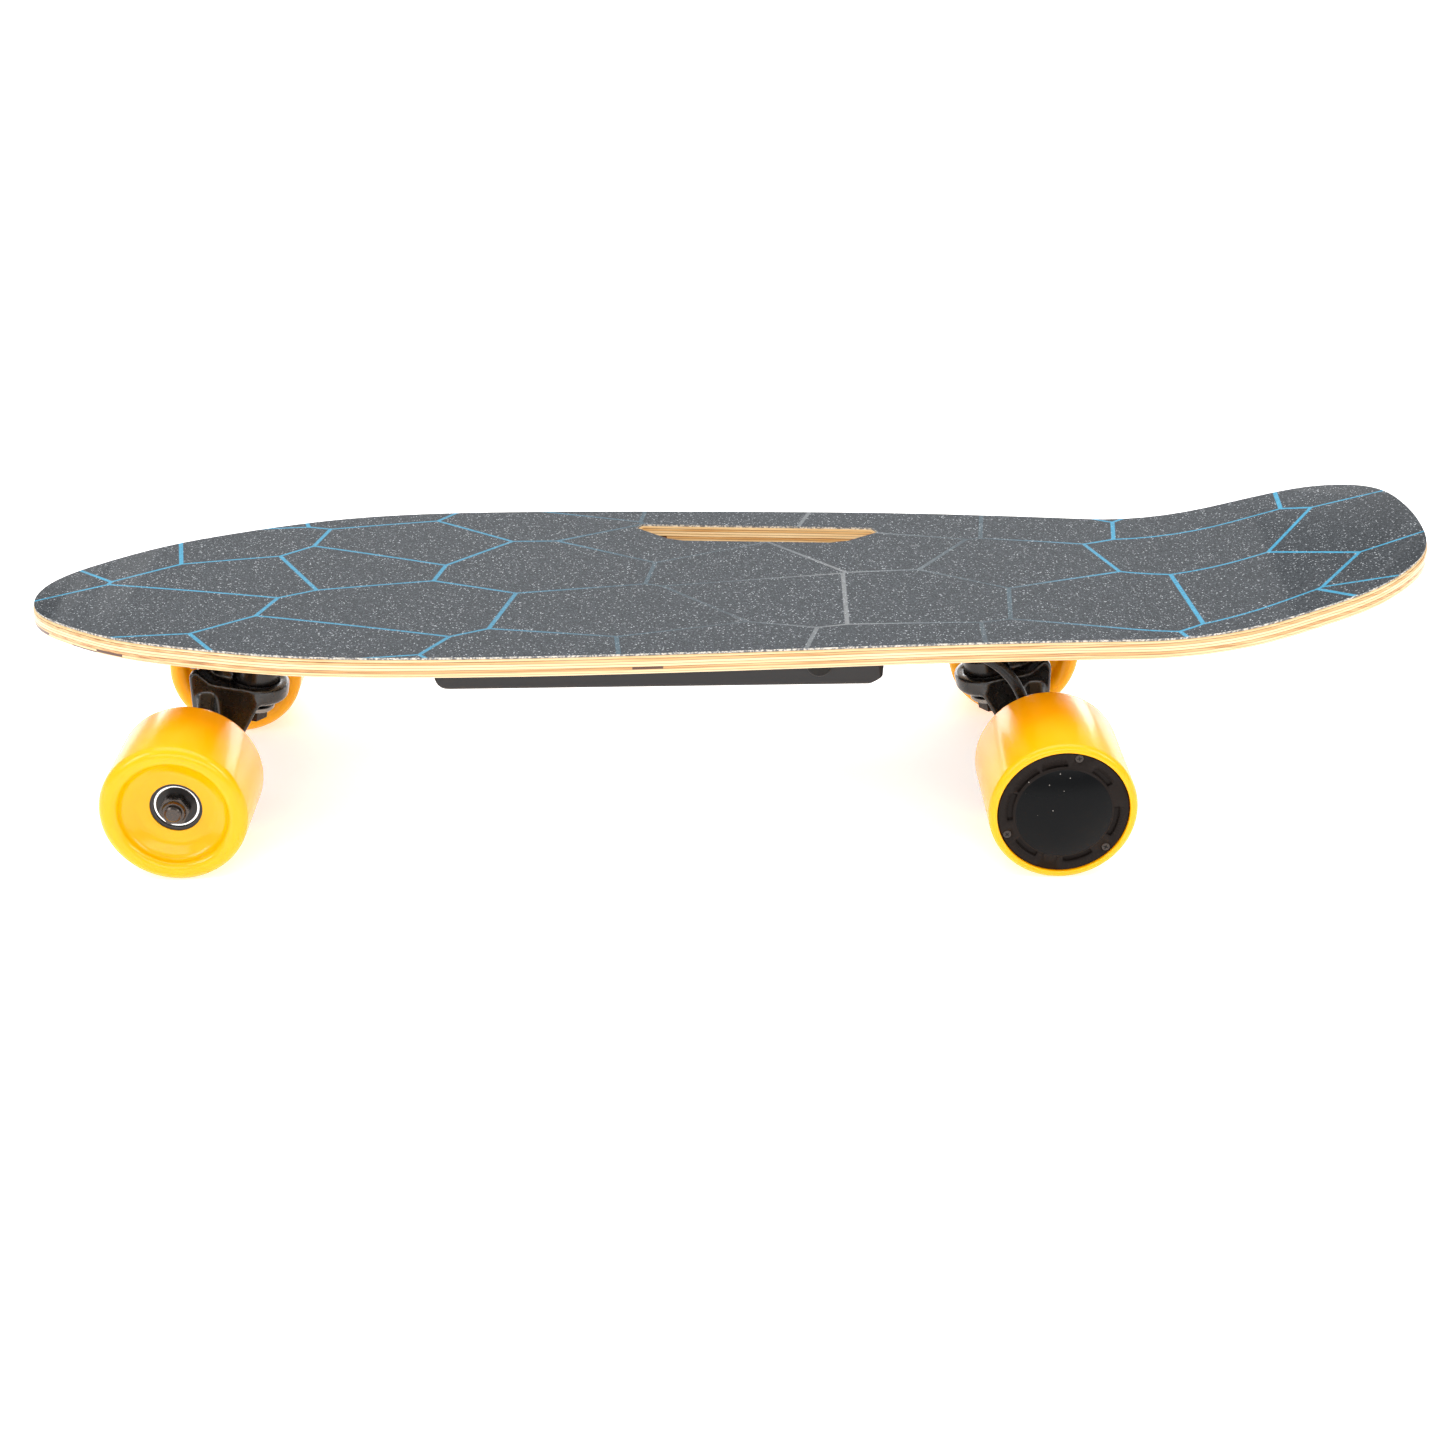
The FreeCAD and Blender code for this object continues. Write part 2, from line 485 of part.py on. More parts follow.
def hanger(side, arm_ends, motor_side):
    """Cast hanger: arms along the axle, a seat for the bushings, a body between them and a pivot ball."""
    body = new_body(side + "_hanger")
    flank = new_sketch(body, "flank", "XZ_Plane")
    outline(flank, [
        ("6.5", "29"), ("6.5", "66", "ccw", "4"), ("2.5", "69"), ("-4", "62.6"), ("-22.8", "58.9"),
        ("-27.5", "50.5"), ("-13.5", "26.5", "ccw", "4"), ("-11", "25.5"), ("3", "25.5", "ccw", "3.6")])
    feature(body, "Pad", "middle", flank, "body_width", middle=True)
    wing = new_sketch(body, "wing", "YZ_Plane", "-1.5")
    outline(wing, [("-46", "36"), ("-46", "42", "ccw", "60"), ("-15", "61"), ("15", "61", "ccw", "60"),
                   ("46", "42"), ("46", "36")])
    wings = feature(body, "Pad", "wings", wing, "9", middle=True)
    rounded(body, "wing_edges", wings, "2.5", lambda e: e.BoundBox.XLength < 0.01 and e.BoundBox.YLength > 20
            and e.BoundBox.ZLength > 10 and e.BoundBox.YLength < 40)
    arms = new_sketch(body, "arms", "XY_Plane")
    arms.setExpression("AttachmentOffset.Base.z", bound(AXLE_Z))
    motor_end = "12.5" if motor_side else "hanger_radius"
    outline(arms, [("0", "-" + arm_ends[0]), (motor_end, "-" + arm_ends[0]),
                   (motor_end, "-arm_taper + %s" % ("2" if motor_side else "0")), ("hanger_radius + 1.5", "-22"),
                   ("hanger_radius + 1.5", "22"), ("hanger_radius", "arm_taper"),
                   ("hanger_radius", arm_ends[1]), ("0", arm_ends[1])])
    revolved(body, "arm_tubes", arms)
    seat = tilted_sketch(body, "seat", "ring_x", "ring_z", "-kingpin_lean")
    outline(seat, [("0", "-ring_half"), ("ring_radius - 2.5", "-ring_half"), ("ring_radius", "-ring_half + 2.5"),
                   ("ring_radius", "ring_half - 1"), ("ring_radius - 1", "ring_half"), ("0", "ring_half")])
    revolved(body, "bushing_seat", seat)
    ball = tilted_sketch(body, "ball", "ring_x", "ring_z", "90 - steer_rise")
    outline(ball, [("0", "12"), ("9.5", "12"), ("8.3", "20"), ("6", "27"), ("6", "pivot_reach", "ccw", "6"),
                   ("0", "pivot_reach + 6")])
    revolved(body, "pivot_ball", ball)
    barrel_room = tilted_sketch(body, "barrel_room", "ring_x", "ring_z", "90 - steer_rise")
    outline(barrel_room, [("6", "27"), ("13.6", "27"), ("13.6", "60"), ("7", "60"), ("7", "pivot_reach + 6"),
                          ("6.01", "pivot_reach + 3")])
    revolved(body, "barrel_clearance", barrel_room, "Groove")
    nut_room = tilted_sketch(body, "nut_room", "ring_x", "ring_z", "-kingpin_lean")
    outline(nut_room, [("0", "-60"), ("13.6", "-60"), ("13.6", "-ring_half"), ("0", "-ring_half")])
    revolved(body, "nut_clearance", nut_room, "Groove")
    for low, high, radius in (("ring_half - 3", "30", "bushing_radius + 0.3"), ("11", "32", "14.2"),
                              ("-30", "-ring_half + 3", "bushing_radius + 0.3"), ("-3", "3", "7")):
        recess = tilted_sketch(body, "recess%s" % len(body.Group), "ring_x", "ring_z", "-kingpin_lean")
        outline(recess, [("0", low), (radius, low), (radius, high), ("0", high)])
        revolved(body, "recess_cut%s" % len(body.Group), recess, "Groove")
    bore = new_sketch(body, "axle_bore", "XZ_Plane")
    circle(bore, "0", AXLE_Z, "axle_radius")
    drill = feature(body, "Pocket", "axle_hole", bore)
    drill.Midplane = True
    if motor_side:
        socket = new_sketch(body, "shaft_socket", "XZ_Plane", "60")
        circle(socket, "0", AXLE_Z, "shaft_radius")
        feature(body, "Pocket", "shaft_hole", socket, "60 - 40")
        collar = tilted_sketch(body, "cable_collar", CABLE_FOOT_X, CABLE_FOOT_Z, CABLE_LEAN, "45")
        outline(collar, [("0", "-4"), ("4.6", "-4"), ("4.6", "5"), ("3.8", "5.8"), ("0", "5.8")])
        revolved(body, "cable_boss", collar)
        hole = tilted_sketch(body, "cable_hole", CABLE_FOOT_X, CABLE_FOOT_Z, CABLE_LEAN, "45")
        outline(hole, [("0", "-2.9"), ("cable_radius + 0.15", "-2.9"), ("cable_radius + 0.15", "10"), ("0", "10")])
        revolved(body, "cable_bore", hole, "Groove")
    return body


def axle(label, low, high):
    """Ground steel axle with bevelled ends."""
    body = turned(label, [("0", low), ("axle_radius - 0.8", low), ("axle_radius", "%s + 0.8" % low),
                          ("axle_radius", "%s - 0.8" % high), ("axle_radius - 0.8", high), ("0", high)])
    return body


FRONT_WHEEL_Y = "(front_width / 2 - wheel_width / 2)"
REAR_WHEEL_Y = "(rear_width / 2 - wheel_width / 2)"
PACK_INNER = "(pack_outer - 2 * bearing_width - spacer_length)"


def arm_end(wheel_y):
    """Where a hanger's arm ends, one washer inside the bearings."""
    return "(%s + %s - washer_thickness - 2 * face_gap)" % (wheel_y, PACK_INNER)


MOTOR_INNER = "(rear_width / 2 - motor_width)"
hanger("front", (arm_end(FRONT_WHEEL_Y), arm_end(FRONT_WHEEL_Y)), False)
place(doc.getObject("front_hanger"), FRONT_X, "0", "0", angle="180")
hanger("rear", ("(%s - 1.5)" % MOTOR_INNER, arm_end(REAR_WHEEL_Y)), True)
place(doc.getObject("rear_hanger"), REAR_X)

for side, axle_x, outboard in TRUCKS:
    riser_pad(side, axle_x, outboard)
    baseplate(side, axle_x, outboard)
    # Pivot cup: a urethane thimble in the baseplate's barrel that the hanger's ball turns in
    cup = turned(side + "_pivot_cup", [
        ("6.05", "27.5"), ("9", "27.5"), ("9", "41"), ("0", "41"), ("0", "pivot_reach + 6.05", "cw", "6.05"),
        ("6.05", "pivot_reach")], "XZ_Plane")
    place(cup, "%s + %d * ring_x" % (axle_x, outboard), "0", "ring_z", (0, 1, 0),
          "%d * (90 - steer_rise)" % outboard)
    # Bushings: a barrel above the hanger's seat and a shorter cone below it
    on_kingpin(side + "_top_bushing", axle_x, outboard, [
        ("kingpin_radius + 0.1", "2"), ("bushing_radius", "2"), ("bushing_radius", "12"),
        ("bushing_radius - 0.8", "13.5"), ("kingpin_radius + 0.1", "13.5")])
    on_kingpin(side + "_bottom_bushing", axle_x, outboard, [
        ("kingpin_radius + 0.1", "-9"), ("9.2", "-9"), ("bushing_radius - 1", "-4"), ("bushing_radius - 1", "-2"),
        ("kingpin_radius + 0.1", "-2")])


def both_kingpins(label, sections):
    """Like round pieces on the two kingpins in one node; heights are counted up from each bushing seat."""
    body = new_body(label, compound=True)
    for side, axle_x, outboard in TRUCKS:
        for number, points in enumerate(sections):
            x = "%s + %d * ring_x" % (axle_x, outboard)
            sketch = tilted_sketch(body, "%s_section%d" % (side, number), x, "ring_z", "%d * kingpin_lean" % -outboard)
            outline(sketch, points)
            revolved(body, "%s_turn%d" % (side, number), sketch)
    return body


# Kingpins: bolts whose heads sit in the baseplates and whose threaded ends take the lock nuts
both_kingpins("kingpins", [[
    ("0", "-18.5"), ("kingpin_radius - 0.8", "-18.5"), ("kingpin_radius", "-17.7"), ("kingpin_radius", "31.1"),
    ("7.6", "31.1"), ("7.6", "35.5"), ("6.8", "36.3"), ("0", "36.3")]])
# Cup washers: one between the lower bushing and the nut, one under the baseplate's boss
both_kingpins("kingpin_washers", [
    [("kingpin_radius", "-11"), ("10.6", "-11"), ("11.3", "-10.3"), ("11.3", "-8.6"), ("10.3", "-8.6"),
     ("9.6", "-9"), ("kingpin_radius", "-9")],
    [("kingpin_radius", "13.5"), ("12", "13.5"), ("12", "14.4"), ("11.4", "15"), ("kingpin_radius", "15")]])
# Kingpin nuts: hexagonal lock nuts that squeeze the bushings
nuts = new_body("kingpin_nuts", compound=True)
for side, axle_x, outboard in TRUCKS:
    block = new_sketch(nuts, side + "_hexagon")
    block.setExpression("AttachmentOffset.Base.z", None)
    foot = FreeCAD.Placement(Vector(size("%s + %d * ring_x" % (axle_x, outboard)), 0, size("ring_z")),
                             FreeCAD.Rotation(Vector(0, 1, 0), size("%d * kingpin_lean" % -outboard)))
    block.AttachmentOffset = foot.multiply(FreeCAD.Placement(Vector(0, 0, -17), FreeCAD.Rotation()))
    hexagon(block, "14")
    circle(block, "0", "0", "kingpin_radius")
    feature(nuts, "Pad", side + "_block", block, "6")


def screws(label, places, seat, shank, head, head_height):
    """Button head screws that point up, their heads under a seat at one height."""
    body = new_body(label, compound=True)
    for number, (x, y, underside) in enumerate(places):
        sketch = new_sketch(body, "side%d" % number, "XZ_Plane", "-(%s)" % y)
        tip = "%s + %s - 0.2" % (underside, INSERT_DEPTH)
        outline(sketch, [
            (x, "%s - %s" % (seat, head_height)), ("%s + %s * 0.7" % (x, head), "%s - %s" % (seat, head_height)),
            ("%s + %s" % (x, head), seat), ("%s + %s" % (x, shank), seat), ("%s + %s" % (x, shank), tip), (x, tip)])
        made = revolved(body, "turn%d" % number, sketch)
        sketch.addGeometry(Part.LineSegment(Vector(size(x), 0, 0), Vector(size(x), 100, 0)), True)
        made.ReferenceAxis = (sketch, ["Axis0"])
    return body


screws("truck_screws", TRUCK_BOLTS, "plate_top - plate_thickness", "2.45", "4.6", "2.8")
screws("enclosure_screws", TRAY_BOLTS, "tray_bottom + 21", "1.95", "3.6", "2.2")
# Threaded inserts: brass sleeves pressed into the wood from below
inserts = new_body("threaded_inserts", compound=True)
for number, (x, y, underside) in enumerate(TRUCK_BOLTS + TRAY_BOLTS):
    ring = new_sketch(inserts, "ring%d" % number, "XY_Plane", "%s + 0.2" % underside)
    circle(ring, x, y, "4")
    circle(ring, x, y, "2.5" if number < len(TRUCK_BOLTS) else "2")
    feature(inserts, "Pad", "sleeve%d" % number, ring, "%s - 0.2" % INSERT_DEPTH)

# Axles: 8 mm ground steel, through the whole front hanger and through the rear one's plain arm
AXLE_OVER = "(pack_outer + face_gap + washer_thickness + nut_height + 2)"
place(axle("front_axle", "-(%s + %s)" % (FRONT_WHEEL_Y, AXLE_OVER), "%s + %s" % (FRONT_WHEEL_Y, AXLE_OVER)),
      FRONT_X, "0", AXLE_Z)
place(axle("rear_axle", "-30", "%s + %s" % (REAR_WHEEL_Y, AXLE_OVER)), REAR_X, "0", AXLE_Z)


def washer_spans(wheel_y, hand):
    """The two speed washers either side of one wheel's bearings."""
    inner = "%s + %s - face_gap - washer_thickness" % (wheel_y, PACK_INNER)
    outer = "%s + pack_outer + face_gap" % wheel_y
    spans = [(inner, inner + " + washer_thickness"), (outer, outer + " + washer_thickness")]
    if hand < 0:
        spans = [("-(%s)" % high, "-(%s)" % low) for low, high in spans]
    return spans


place(rings("front_axle_washers", washer_spans(FRONT_WHEEL_Y, -1) + washer_spans(FRONT_WHEEL_Y, 1),
            "axle_radius", "6.2"), FRONT_X, "0", AXLE_Z)
place(rings("rear_axle_washers", washer_spans(REAR_WHEEL_Y, 1), "axle_radius", "6.2"), REAR_X, "0", AXLE_Z)


def axle_nuts(label, wheel_y, hands):
    """Lock nuts on the ends of an axle: a hexagon and a round nylon collar each."""
    body = new_body(label, compound=True)
    for hand in hands:
        start = "(%s + pack_outer + face_gap + washer_thickness)" % wheel_y
        side = "right" if hand > 0 else "left"
        block = new_sketch(body, side + "_hexagon", "XZ_Plane", "%d * %s" % (-hand, start))
        hexagon(block, "nut_flats")
        circle(block, "0", "0", "axle_radius")
        feature(body, "Pad", side + "_block", block, "nut_height - 1.5", back=hand > 0)
        collar = new_sketch(body, side + "_collar")
        low = "%d * (%s + nut_height - 1.5)" % (hand, start)
        high = "%d * (%s + nut_height)" % (hand, start)
        outline(collar, [("axle_radius", low), ("5.8", low), ("5.2", high), ("axle_radius", high)])
        revolved(body, side + "_collar_turn", collar)
    return body


place(axle_nuts("front_axle_nuts", FRONT_WHEEL_Y, (-1, 1)), FRONT_X, "0", AXLE_Z)
place(axle_nuts("rear_axle_nut", REAR_WHEEL_Y, (1,)), REAR_X, "0", AXLE_Z)


def plain_wheel(name, axle_x, wheel_y, hand):
    """A poured tyre on a hard core, two ball bearings and the spacer between them; +y is its outer face."""
    half = "(wheel_width / 2)"
    tyre = turned(name + "_tyre", [
        ("core_radius", "%s - 1.5" % PACK_INNER), ("20", "%s - 3.5" % PACK_INNER),
        ("bowl_radius", "-%s + 4" % half, "ccw", "4"),
        ("30", "-" + half, "ccw", "5"), ("wheel_radius", "-%s + lip_radius" % half),
        ("wheel_radius", "%s - lip_radius" % half, "ccw", "5"), ("30", half, "ccw", "4"),
        ("bowl_radius", "%s - 4" % half), ("20", "pack_outer + 2.3"), ("core_radius", "pack_outer + 1")])
    core = turned(name + "_core", [
        ("bearing_outer", "%s - 0.9" % PACK_INNER), ("core_radius", "%s - 0.9" % PACK_INNER),
        ("core_radius", "pack_outer + 0.9"), ("bearing_outer", "pack_outer + 0.9"),
        ("bearing_outer", "pack_outer - bearing_width"), ("9.5", "pack_outer - bearing_width"),
        ("9.5", "%s + bearing_width" % PACK_INNER), ("bearing_outer", "%s + bearing_width" % PACK_INNER)])
    pack = new_body(name + "_bearings", compound=True)
    for number, low in enumerate((PACK_INNER, "(pack_outer - bearing_width)")):
        high = "(%s + bearing_width)" % low
        for part, inner, outer, back in (("inner", "bearing_inner", "6", "0"), ("seal", "6.05", "9.3", "0.5"),
                                         ("outer", "9.35", "bearing_outer", "0")):
            sketch = new_sketch(pack, "%s%d" % (part, number))
            outline(sketch, [(inner, "%s + %s" % (low, back)), (outer, "%s + %s" % (low, back)),
                             (outer, "%s - %s" % (high, back)), (inner, "%s - %s" % (high, back))])
            revolved(pack, "%s_turn%d" % (part, number), sketch)
    spacer = rings(name + "_spacer", [("%s + bearing_width" % PACK_INNER, "pack_outer - bearing_width")],
                   "bearing_inner", "5.4")
    for piece in (tyre, core, pack, spacer):
        place(piece, axle_x, "%d * %s" % (hand, wheel_y), AXLE_Z, angle="0" if hand > 0 else "180")


plain_wheel("front_left", FRONT_X, FRONT_WHEEL_Y, -1)
plain_wheel("front_right", FRONT_X, FRONT_WHEEL_Y, 1)
plain_wheel("rear_right", REAR_X, REAR_WHEEL_Y, 1)

# Motor wheel: its own frame starts at its inner face and runs outward along +y
MOTOR_BEARINGS = [("0.6", "7.6", "shaft_radius + 0.03", "14"), ("50.5", "56.5", "6.03", "12")]
motor_tyre = turned("motor_tyre", [
    ("can_radius", "0"), ("wheel_radius - 2.5", "0", "ccw", "2.5"), ("wheel_radius", "2.5"),
    ("wheel_radius", "motor_width - 2.5", "ccw", "2.5"), ("wheel_radius - 2.5", "motor_width"),
    ("cover_radius + 0.1", "motor_width"), ("cover_radius + 0.1", "57.5"), ("can_radius", "57.5")])
# Steel can that carries the magnets
motor_rotor = turned("motor_rotor", [("26", "3"), ("can_radius", "3"), ("can_radius", "57.5"), ("26", "57.5")])
magnets = new_body("motor_magnets", compound=True)
magnet = new_sketch(magnets, "section", "XZ_Plane", "-16")
outline(magnet, [("24.05 * cos(11)", "24.05 * sin(-11)"), ("26 * cos(11)", "26 * sin(-11)", "ccw", "26"),
                 ("26 * cos(11)", "26 * sin(11)"), ("24.05 * cos(11)", "24.05 * sin(11)", "cw", "24.05")])
repeated(magnets, "all", feature(magnets, "Pad", "one", magnet, "30", back=True), 14, "Y_Axis")
# End cap on the inner side, with the seat of the larger bearing
inner_cap = turned("motor_inner_cap", [
    ("14", "0.6"), ("can_radius", "0.6"), ("can_radius", "3"), ("26", "3"), ("26", "6"), ("17", "6"),
    ("16.5", "8.4"), ("12.5", "8.4"), ("12.5", "7.6"), ("14", "7.6")])
# Cover on the outer side: a raised middle disc, shallow windows of several widths round it, a moulded nub, three
# screw wells and a boss for the smaller bearing
cover = turned("motor_cover", [
    ("0", "58"), ("12", "58"), ("12", "50.5"), ("15", "50.5"), ("15", "57.5"), ("22", "57.5"), ("22", "55"),
    ("26", "55"), ("26", "57.5"), ("cover_radius", "57.5"), ("cover_radius", "59.9"), ("cover_radius - 0.6", "60.5"),
    ("23.6", "60.5"), ("23", "61.1"), ("22.6", "motor_width"), ("0", "motor_width")])
for number, (start, end, outer) in enumerate(((-10, 24, "26.4"), (174, 210, "26.4"), (235, 268, "26.4"),
                                              (297, 327, "26.4"), (120, 147, "26.4"), (63, 92, "25.2"),
                                              (26, 60, "25.2"))):
    window = new_sketch(cover, "window%d" % number, "XZ_Plane", "-60.5")
    outline(window, [("23.7 * cos(%d)" % start, "23.7 * sin(%d)" % start),
                     ("%s * cos(%d)" % (outer, start), "%s * sin(%d)" % (outer, start), "ccw", outer),
                     ("%s * cos(%d)" % (outer, end), "%s * sin(%d)" % (outer, end)),
                     ("23.7 * cos(%d)" % end, "23.7 * sin(%d)" % end, "cw", "23.7")])
    feature(cover, "Pocket", "window_cut%d" % number, window, "1.5", back=True)
nub = new_sketch(cover, "nub", "XZ_Plane", "-59")
circle(nub, "23.2 * cos(283)", "23.2 * sin(283)", "3.4")
feature(cover, "Pad", "nub_boss", nub, "2.3", back=True)
cover_screws = new_body("motor_cover_screws", compound=True)
for number, turn in enumerate((102, -24, -138)):
    for part, depth, radius in (("bore", "5", "1.05"), ("well", "3", "2.2")):
        spot = new_sketch(cover, "screw_%s%d" % (part, number), "XZ_Plane", "-62")
        circle(spot, "28.3 * cos(%d)" % turn, "28.3 * sin(%d)" % turn, radius)
        feature(cover, "Pocket", "screw_%s_cut%d" % (part, number), spot, depth, back=True)
    for part, low, high, radius in (("shank", "57.6", "59", "1"), ("head", "59", "60.2", "1.9")):
        rod = new_sketch(cover_screws, "%s%d" % (part, number), "XZ_Plane", "-" + low)
        circle(rod, "28.3 * cos(%d)" % turn, "28.3 * sin(%d)" % turn, radius)
        feature(cover_screws, "Pad", "%s_rod%d" % (part, number), rod, "%s - %s" % (high, low), back=True)
motor_bearings = new_body("motor_bearings", compound=True)
for number, (low, high, inner, outer) in enumerate(MOTOR_BEARINGS):
    for part, start, end, back in (("inner", inner, "%s + 2" % inner, "0"), ("outer", "%s - 2" % outer, outer, "0"),
                                   ("seal", "%s + 2.05" % inner, "%s - 2.05" % outer, "0.4")):
        ring = new_sketch(motor_bearings, "%s%d" % (part, number))
        outline(ring, [(start, "%s + %s" % (low, back)), (end, "%s + %s" % (low, back)),
                       (end, "%s - %s" % (high, back)), (start, "%s - %s" % (high, back))])
        revolved(motor_bearings, "%s_turn%d" % (part, number), ring)
# Fixed shaft, pressed into the hanger and hollow for the cable
shaft = turned("motor_shaft", [
    ("3.5", "-12"), ("shaft_radius", "-12"), ("shaft_radius", "50"), ("6", "50"), ("6", "56.4"), ("5.4", "57"),
    ("0", "57"), ("0", "14"), ("3.5", "12")])
# Stator: twelve teeth round a ring on the shaft
stator = turned("motor_stator", [("shaft_radius", "16"), ("stator_radius", "16"), ("stator_radius", "46"),
                                 ("shaft_radius", "46")])
slot = new_sketch(stator, "slot", "XZ_Plane", "-47")
outline(slot, [("12.5", "-2"), ("20.8", "-4.3"), ("21.8", "-0.9"), ("25", "-0.9"), ("25", "0.9"), ("21.8", "0.9"),
               ("20.8", "4.3"), ("12.5", "2")])
repeated(stator, "slots", feature(stator, "Pocket", "one_slot", slot, "32", back=True), 12, "Y_Axis")
# Windings: twelve copper coils, one round each tooth
windings = new_body("motor_windings", compound=True)
coil = new_sketch(windings, "ring")
outline(coil, [("13.2", "13"), ("20", "13"), ("20", "49"), ("13.2", "49")])
revolved(windings, "turn", coil)
split = new_sketch(windings, "split", "XZ_Plane", "-50")
rectangle(split, "12", "-0.3", "22", "0.3")
repeated(windings, "splits", feature(windings, "Pocket", "one_split", split, "40", back=True), 12, "Y_Axis")
tooth = new_sketch(windings, "tooth", "XZ_Plane", "-46.1")
outline(tooth, [("12 * cos(15) + 1.55 * sin(15)", "12 * sin(15) - 1.55 * cos(15)"),
                ("22 * cos(15) + 1.55 * sin(15)", "22 * sin(15) - 1.55 * cos(15)"),
                ("22 * cos(15) - 1.55 * sin(15)", "22 * sin(15) + 1.55 * cos(15)"),
                ("12 * cos(15) - 1.55 * sin(15)", "12 * sin(15) + 1.55 * cos(15)")])
repeated(windings, "teeth", feature(windings, "Pocket", "one_tooth", tooth, "30.2", back=True), 12, "Y_Axis")
for piece in (motor_tyre, motor_rotor, magnets, inner_cap, cover, cover_screws, motor_bearings, shaft, stator,
              windings):
    place(piece, REAR_X, "-" + MOTOR_INNER, AXLE_Z, angle="180")

# Enclosure: a moulded tray under the middle of the deck with drafted walls, a rounded front and a bevelled rear
DROP = "(tray_top - tray_bottom) * tan(tray_draft)"


def rounded_rectangle(sketch, x_low, y_low, x_high, y_high, radius):
    """A rectangle with round corners."""
    r = radius
    outline(sketch, [
        ("%s + %s" % (x_low, r), y_low), ("%s - %s" % (x_high, r), y_low, "ccw", r), (x_high, "%s + %s" % (y_low, r)),
        (x_high, "%s - %s" % (y_high, r), "ccw", r), ("%s - %s" % (x_high, r), y_high),
        ("%s + %s" % (x_low, r), y_high, "ccw", r), (x_low, "%s - %s" % (y_high, r)),
        (x_low, "%s + %s" % (y_low, r), "ccw", r)])


tray = new_body("enclosure_tray")
side_view = new_sketch(tray, "side", "XZ_Plane")
outline(side_view, [
    ("tray_front", "tray_top"), ("tray_front + 1.9", "tray_bottom + 9", "ccw", "9.6"),
    ("tray_front + 11.5", "tray_bottom"), ("tray_rear - %s - 7" % DROP, "tray_bottom"),
    ("tray_rear - %s + 0.4" % DROP, "tray_bottom + 5"), ("tray_rear", "tray_top")])
feature(tray, "Pad", "block", side_view, "2 * tray_half_width", middle=True)
end_view = new_sketch(tray, "end", "YZ_Plane")
rectangle(end_view, "-100", "0", "100", "200")
outline(end_view, [
    ("-tray_half_width", "tray_top"), ("-tray_half_width + %s - 0.3" % DROP, "tray_bottom + 3.4", "ccw", "3.6"),
    ("-tray_half_width + %s + 3" % DROP, "tray_bottom"), ("tray_half_width - %s - 3" % DROP, "tray_bottom", "ccw", "3.6"),
    ("tray_half_width - %s + 0.3" % DROP, "tray_bottom + 3.4"), ("tray_half_width", "tray_top"),
    ("tray_half_width", "tray_top + 5"), ("-tray_half_width", "tray_top + 5")])
feature(tray, "Pocket", "draft", end_view).Midplane = True
plan_view = new_sketch(tray, "plan")
rectangle(plan_view, "-300", "-100", "300", "100")
rounded_rectangle(plan_view, "tray_front", "-tray_half_width", "tray_rear", "tray_half_width", "10")
feature(tray, "Pocket", "corners", plan_view).Midplane = True
inside = new_sketch(tray, "inside", "XZ_Plane")
outline(inside, [
    ("tray_front + 4", "tray_top + 2"), ("tray_front + 5", "tray_bottom + 10", "ccw", "8"),
    ("tray_front + 13", "tray_bottom + tray_wall"), ("tray_rear - %s - 9" % DROP, "tray_bottom + tray_wall"),
    ("tray_rear - %s - 3" % DROP, "tray_bottom + 7"), ("tray_rear - 4", "tray_top + 2")])
feature(tray, "Pocket", "cavity", inside, "2 * (tray_half_width - 5.2)").Midplane = True
posts = new_sketch(tray, "posts", "XY_Plane", "tray_bottom + 1")
for x, y, underside in TRAY_BOLTS:
    circle(posts, x, y, "5.6")
feature(tray, "Pad", "screw_posts", posts, "tray_top - tray_bottom - 1")
heads = new_sketch(tray, "head_wells", "XY_Plane", "tray_bottom - 2")
for x, y, underside in TRAY_BOLTS:
    circle(heads, x, y, "3.9")
feature(tray, "Pocket", "head_room", heads, "23", back=True)
shanks = new_sketch(tray, "screw_holes")
for x, y, underside in TRAY_BOLTS:
    circle(shanks, x, y, "2.2")
feature(tray, "Pocket", "shank_room", shanks).Midplane = True

# Ports in the tray: the charge socket on the near side, the switch and the cable's gland on the rear end
SOCKET_X, SOCKET_Z = "46.5", "80.5"
SWITCH_Y, SWITCH_Z = "17", "83"
GLAND_Y, GLAND_Z = CABLE_RUN[0][1], CABLE_RUN[0][2]
socket_hole = new_sketch(tray, "socket_hole", "XZ_Plane", "30")
circle(socket_hole, SOCKET_X, SOCKET_Z, "6.6")
feature(tray, "Pocket", "socket_port", socket_hole, "20", back=True)
rear_holes = new_sketch(tray, "rear_holes", "YZ_Plane", "tray_rear - 16")
circle(rear_holes, SWITCH_Y, SWITCH_Z, "6")
circle(rear_holes, GLAND_Y, GLAND_Z, "4.5")
feature(tray, "Pocket", "rear_ports", rear_holes, "30", back=True)

# Gasket: a flat foam frame between the tray's rim and the wood
gasket = new_body("enclosure_gasket")
frame = new_sketch(gasket, "plan", "XY_Plane", "tray_top")
rounded_rectangle(frame, "tray_front + 0.5", "-tray_half_width + 0.5", "tray_rear - 0.5", "tray_half_width - 0.5", "9.5")
rectangle(frame, "tray_front + 14.5", "-tray_half_width + 5.2", "tray_rear - 16", "tray_half_width - 5.2")
for x, y, underside in TRAY_BOLTS:
    circle(frame, x, y, "2.2")
feature(gasket, "Pad", "sheet", frame, "0.9")

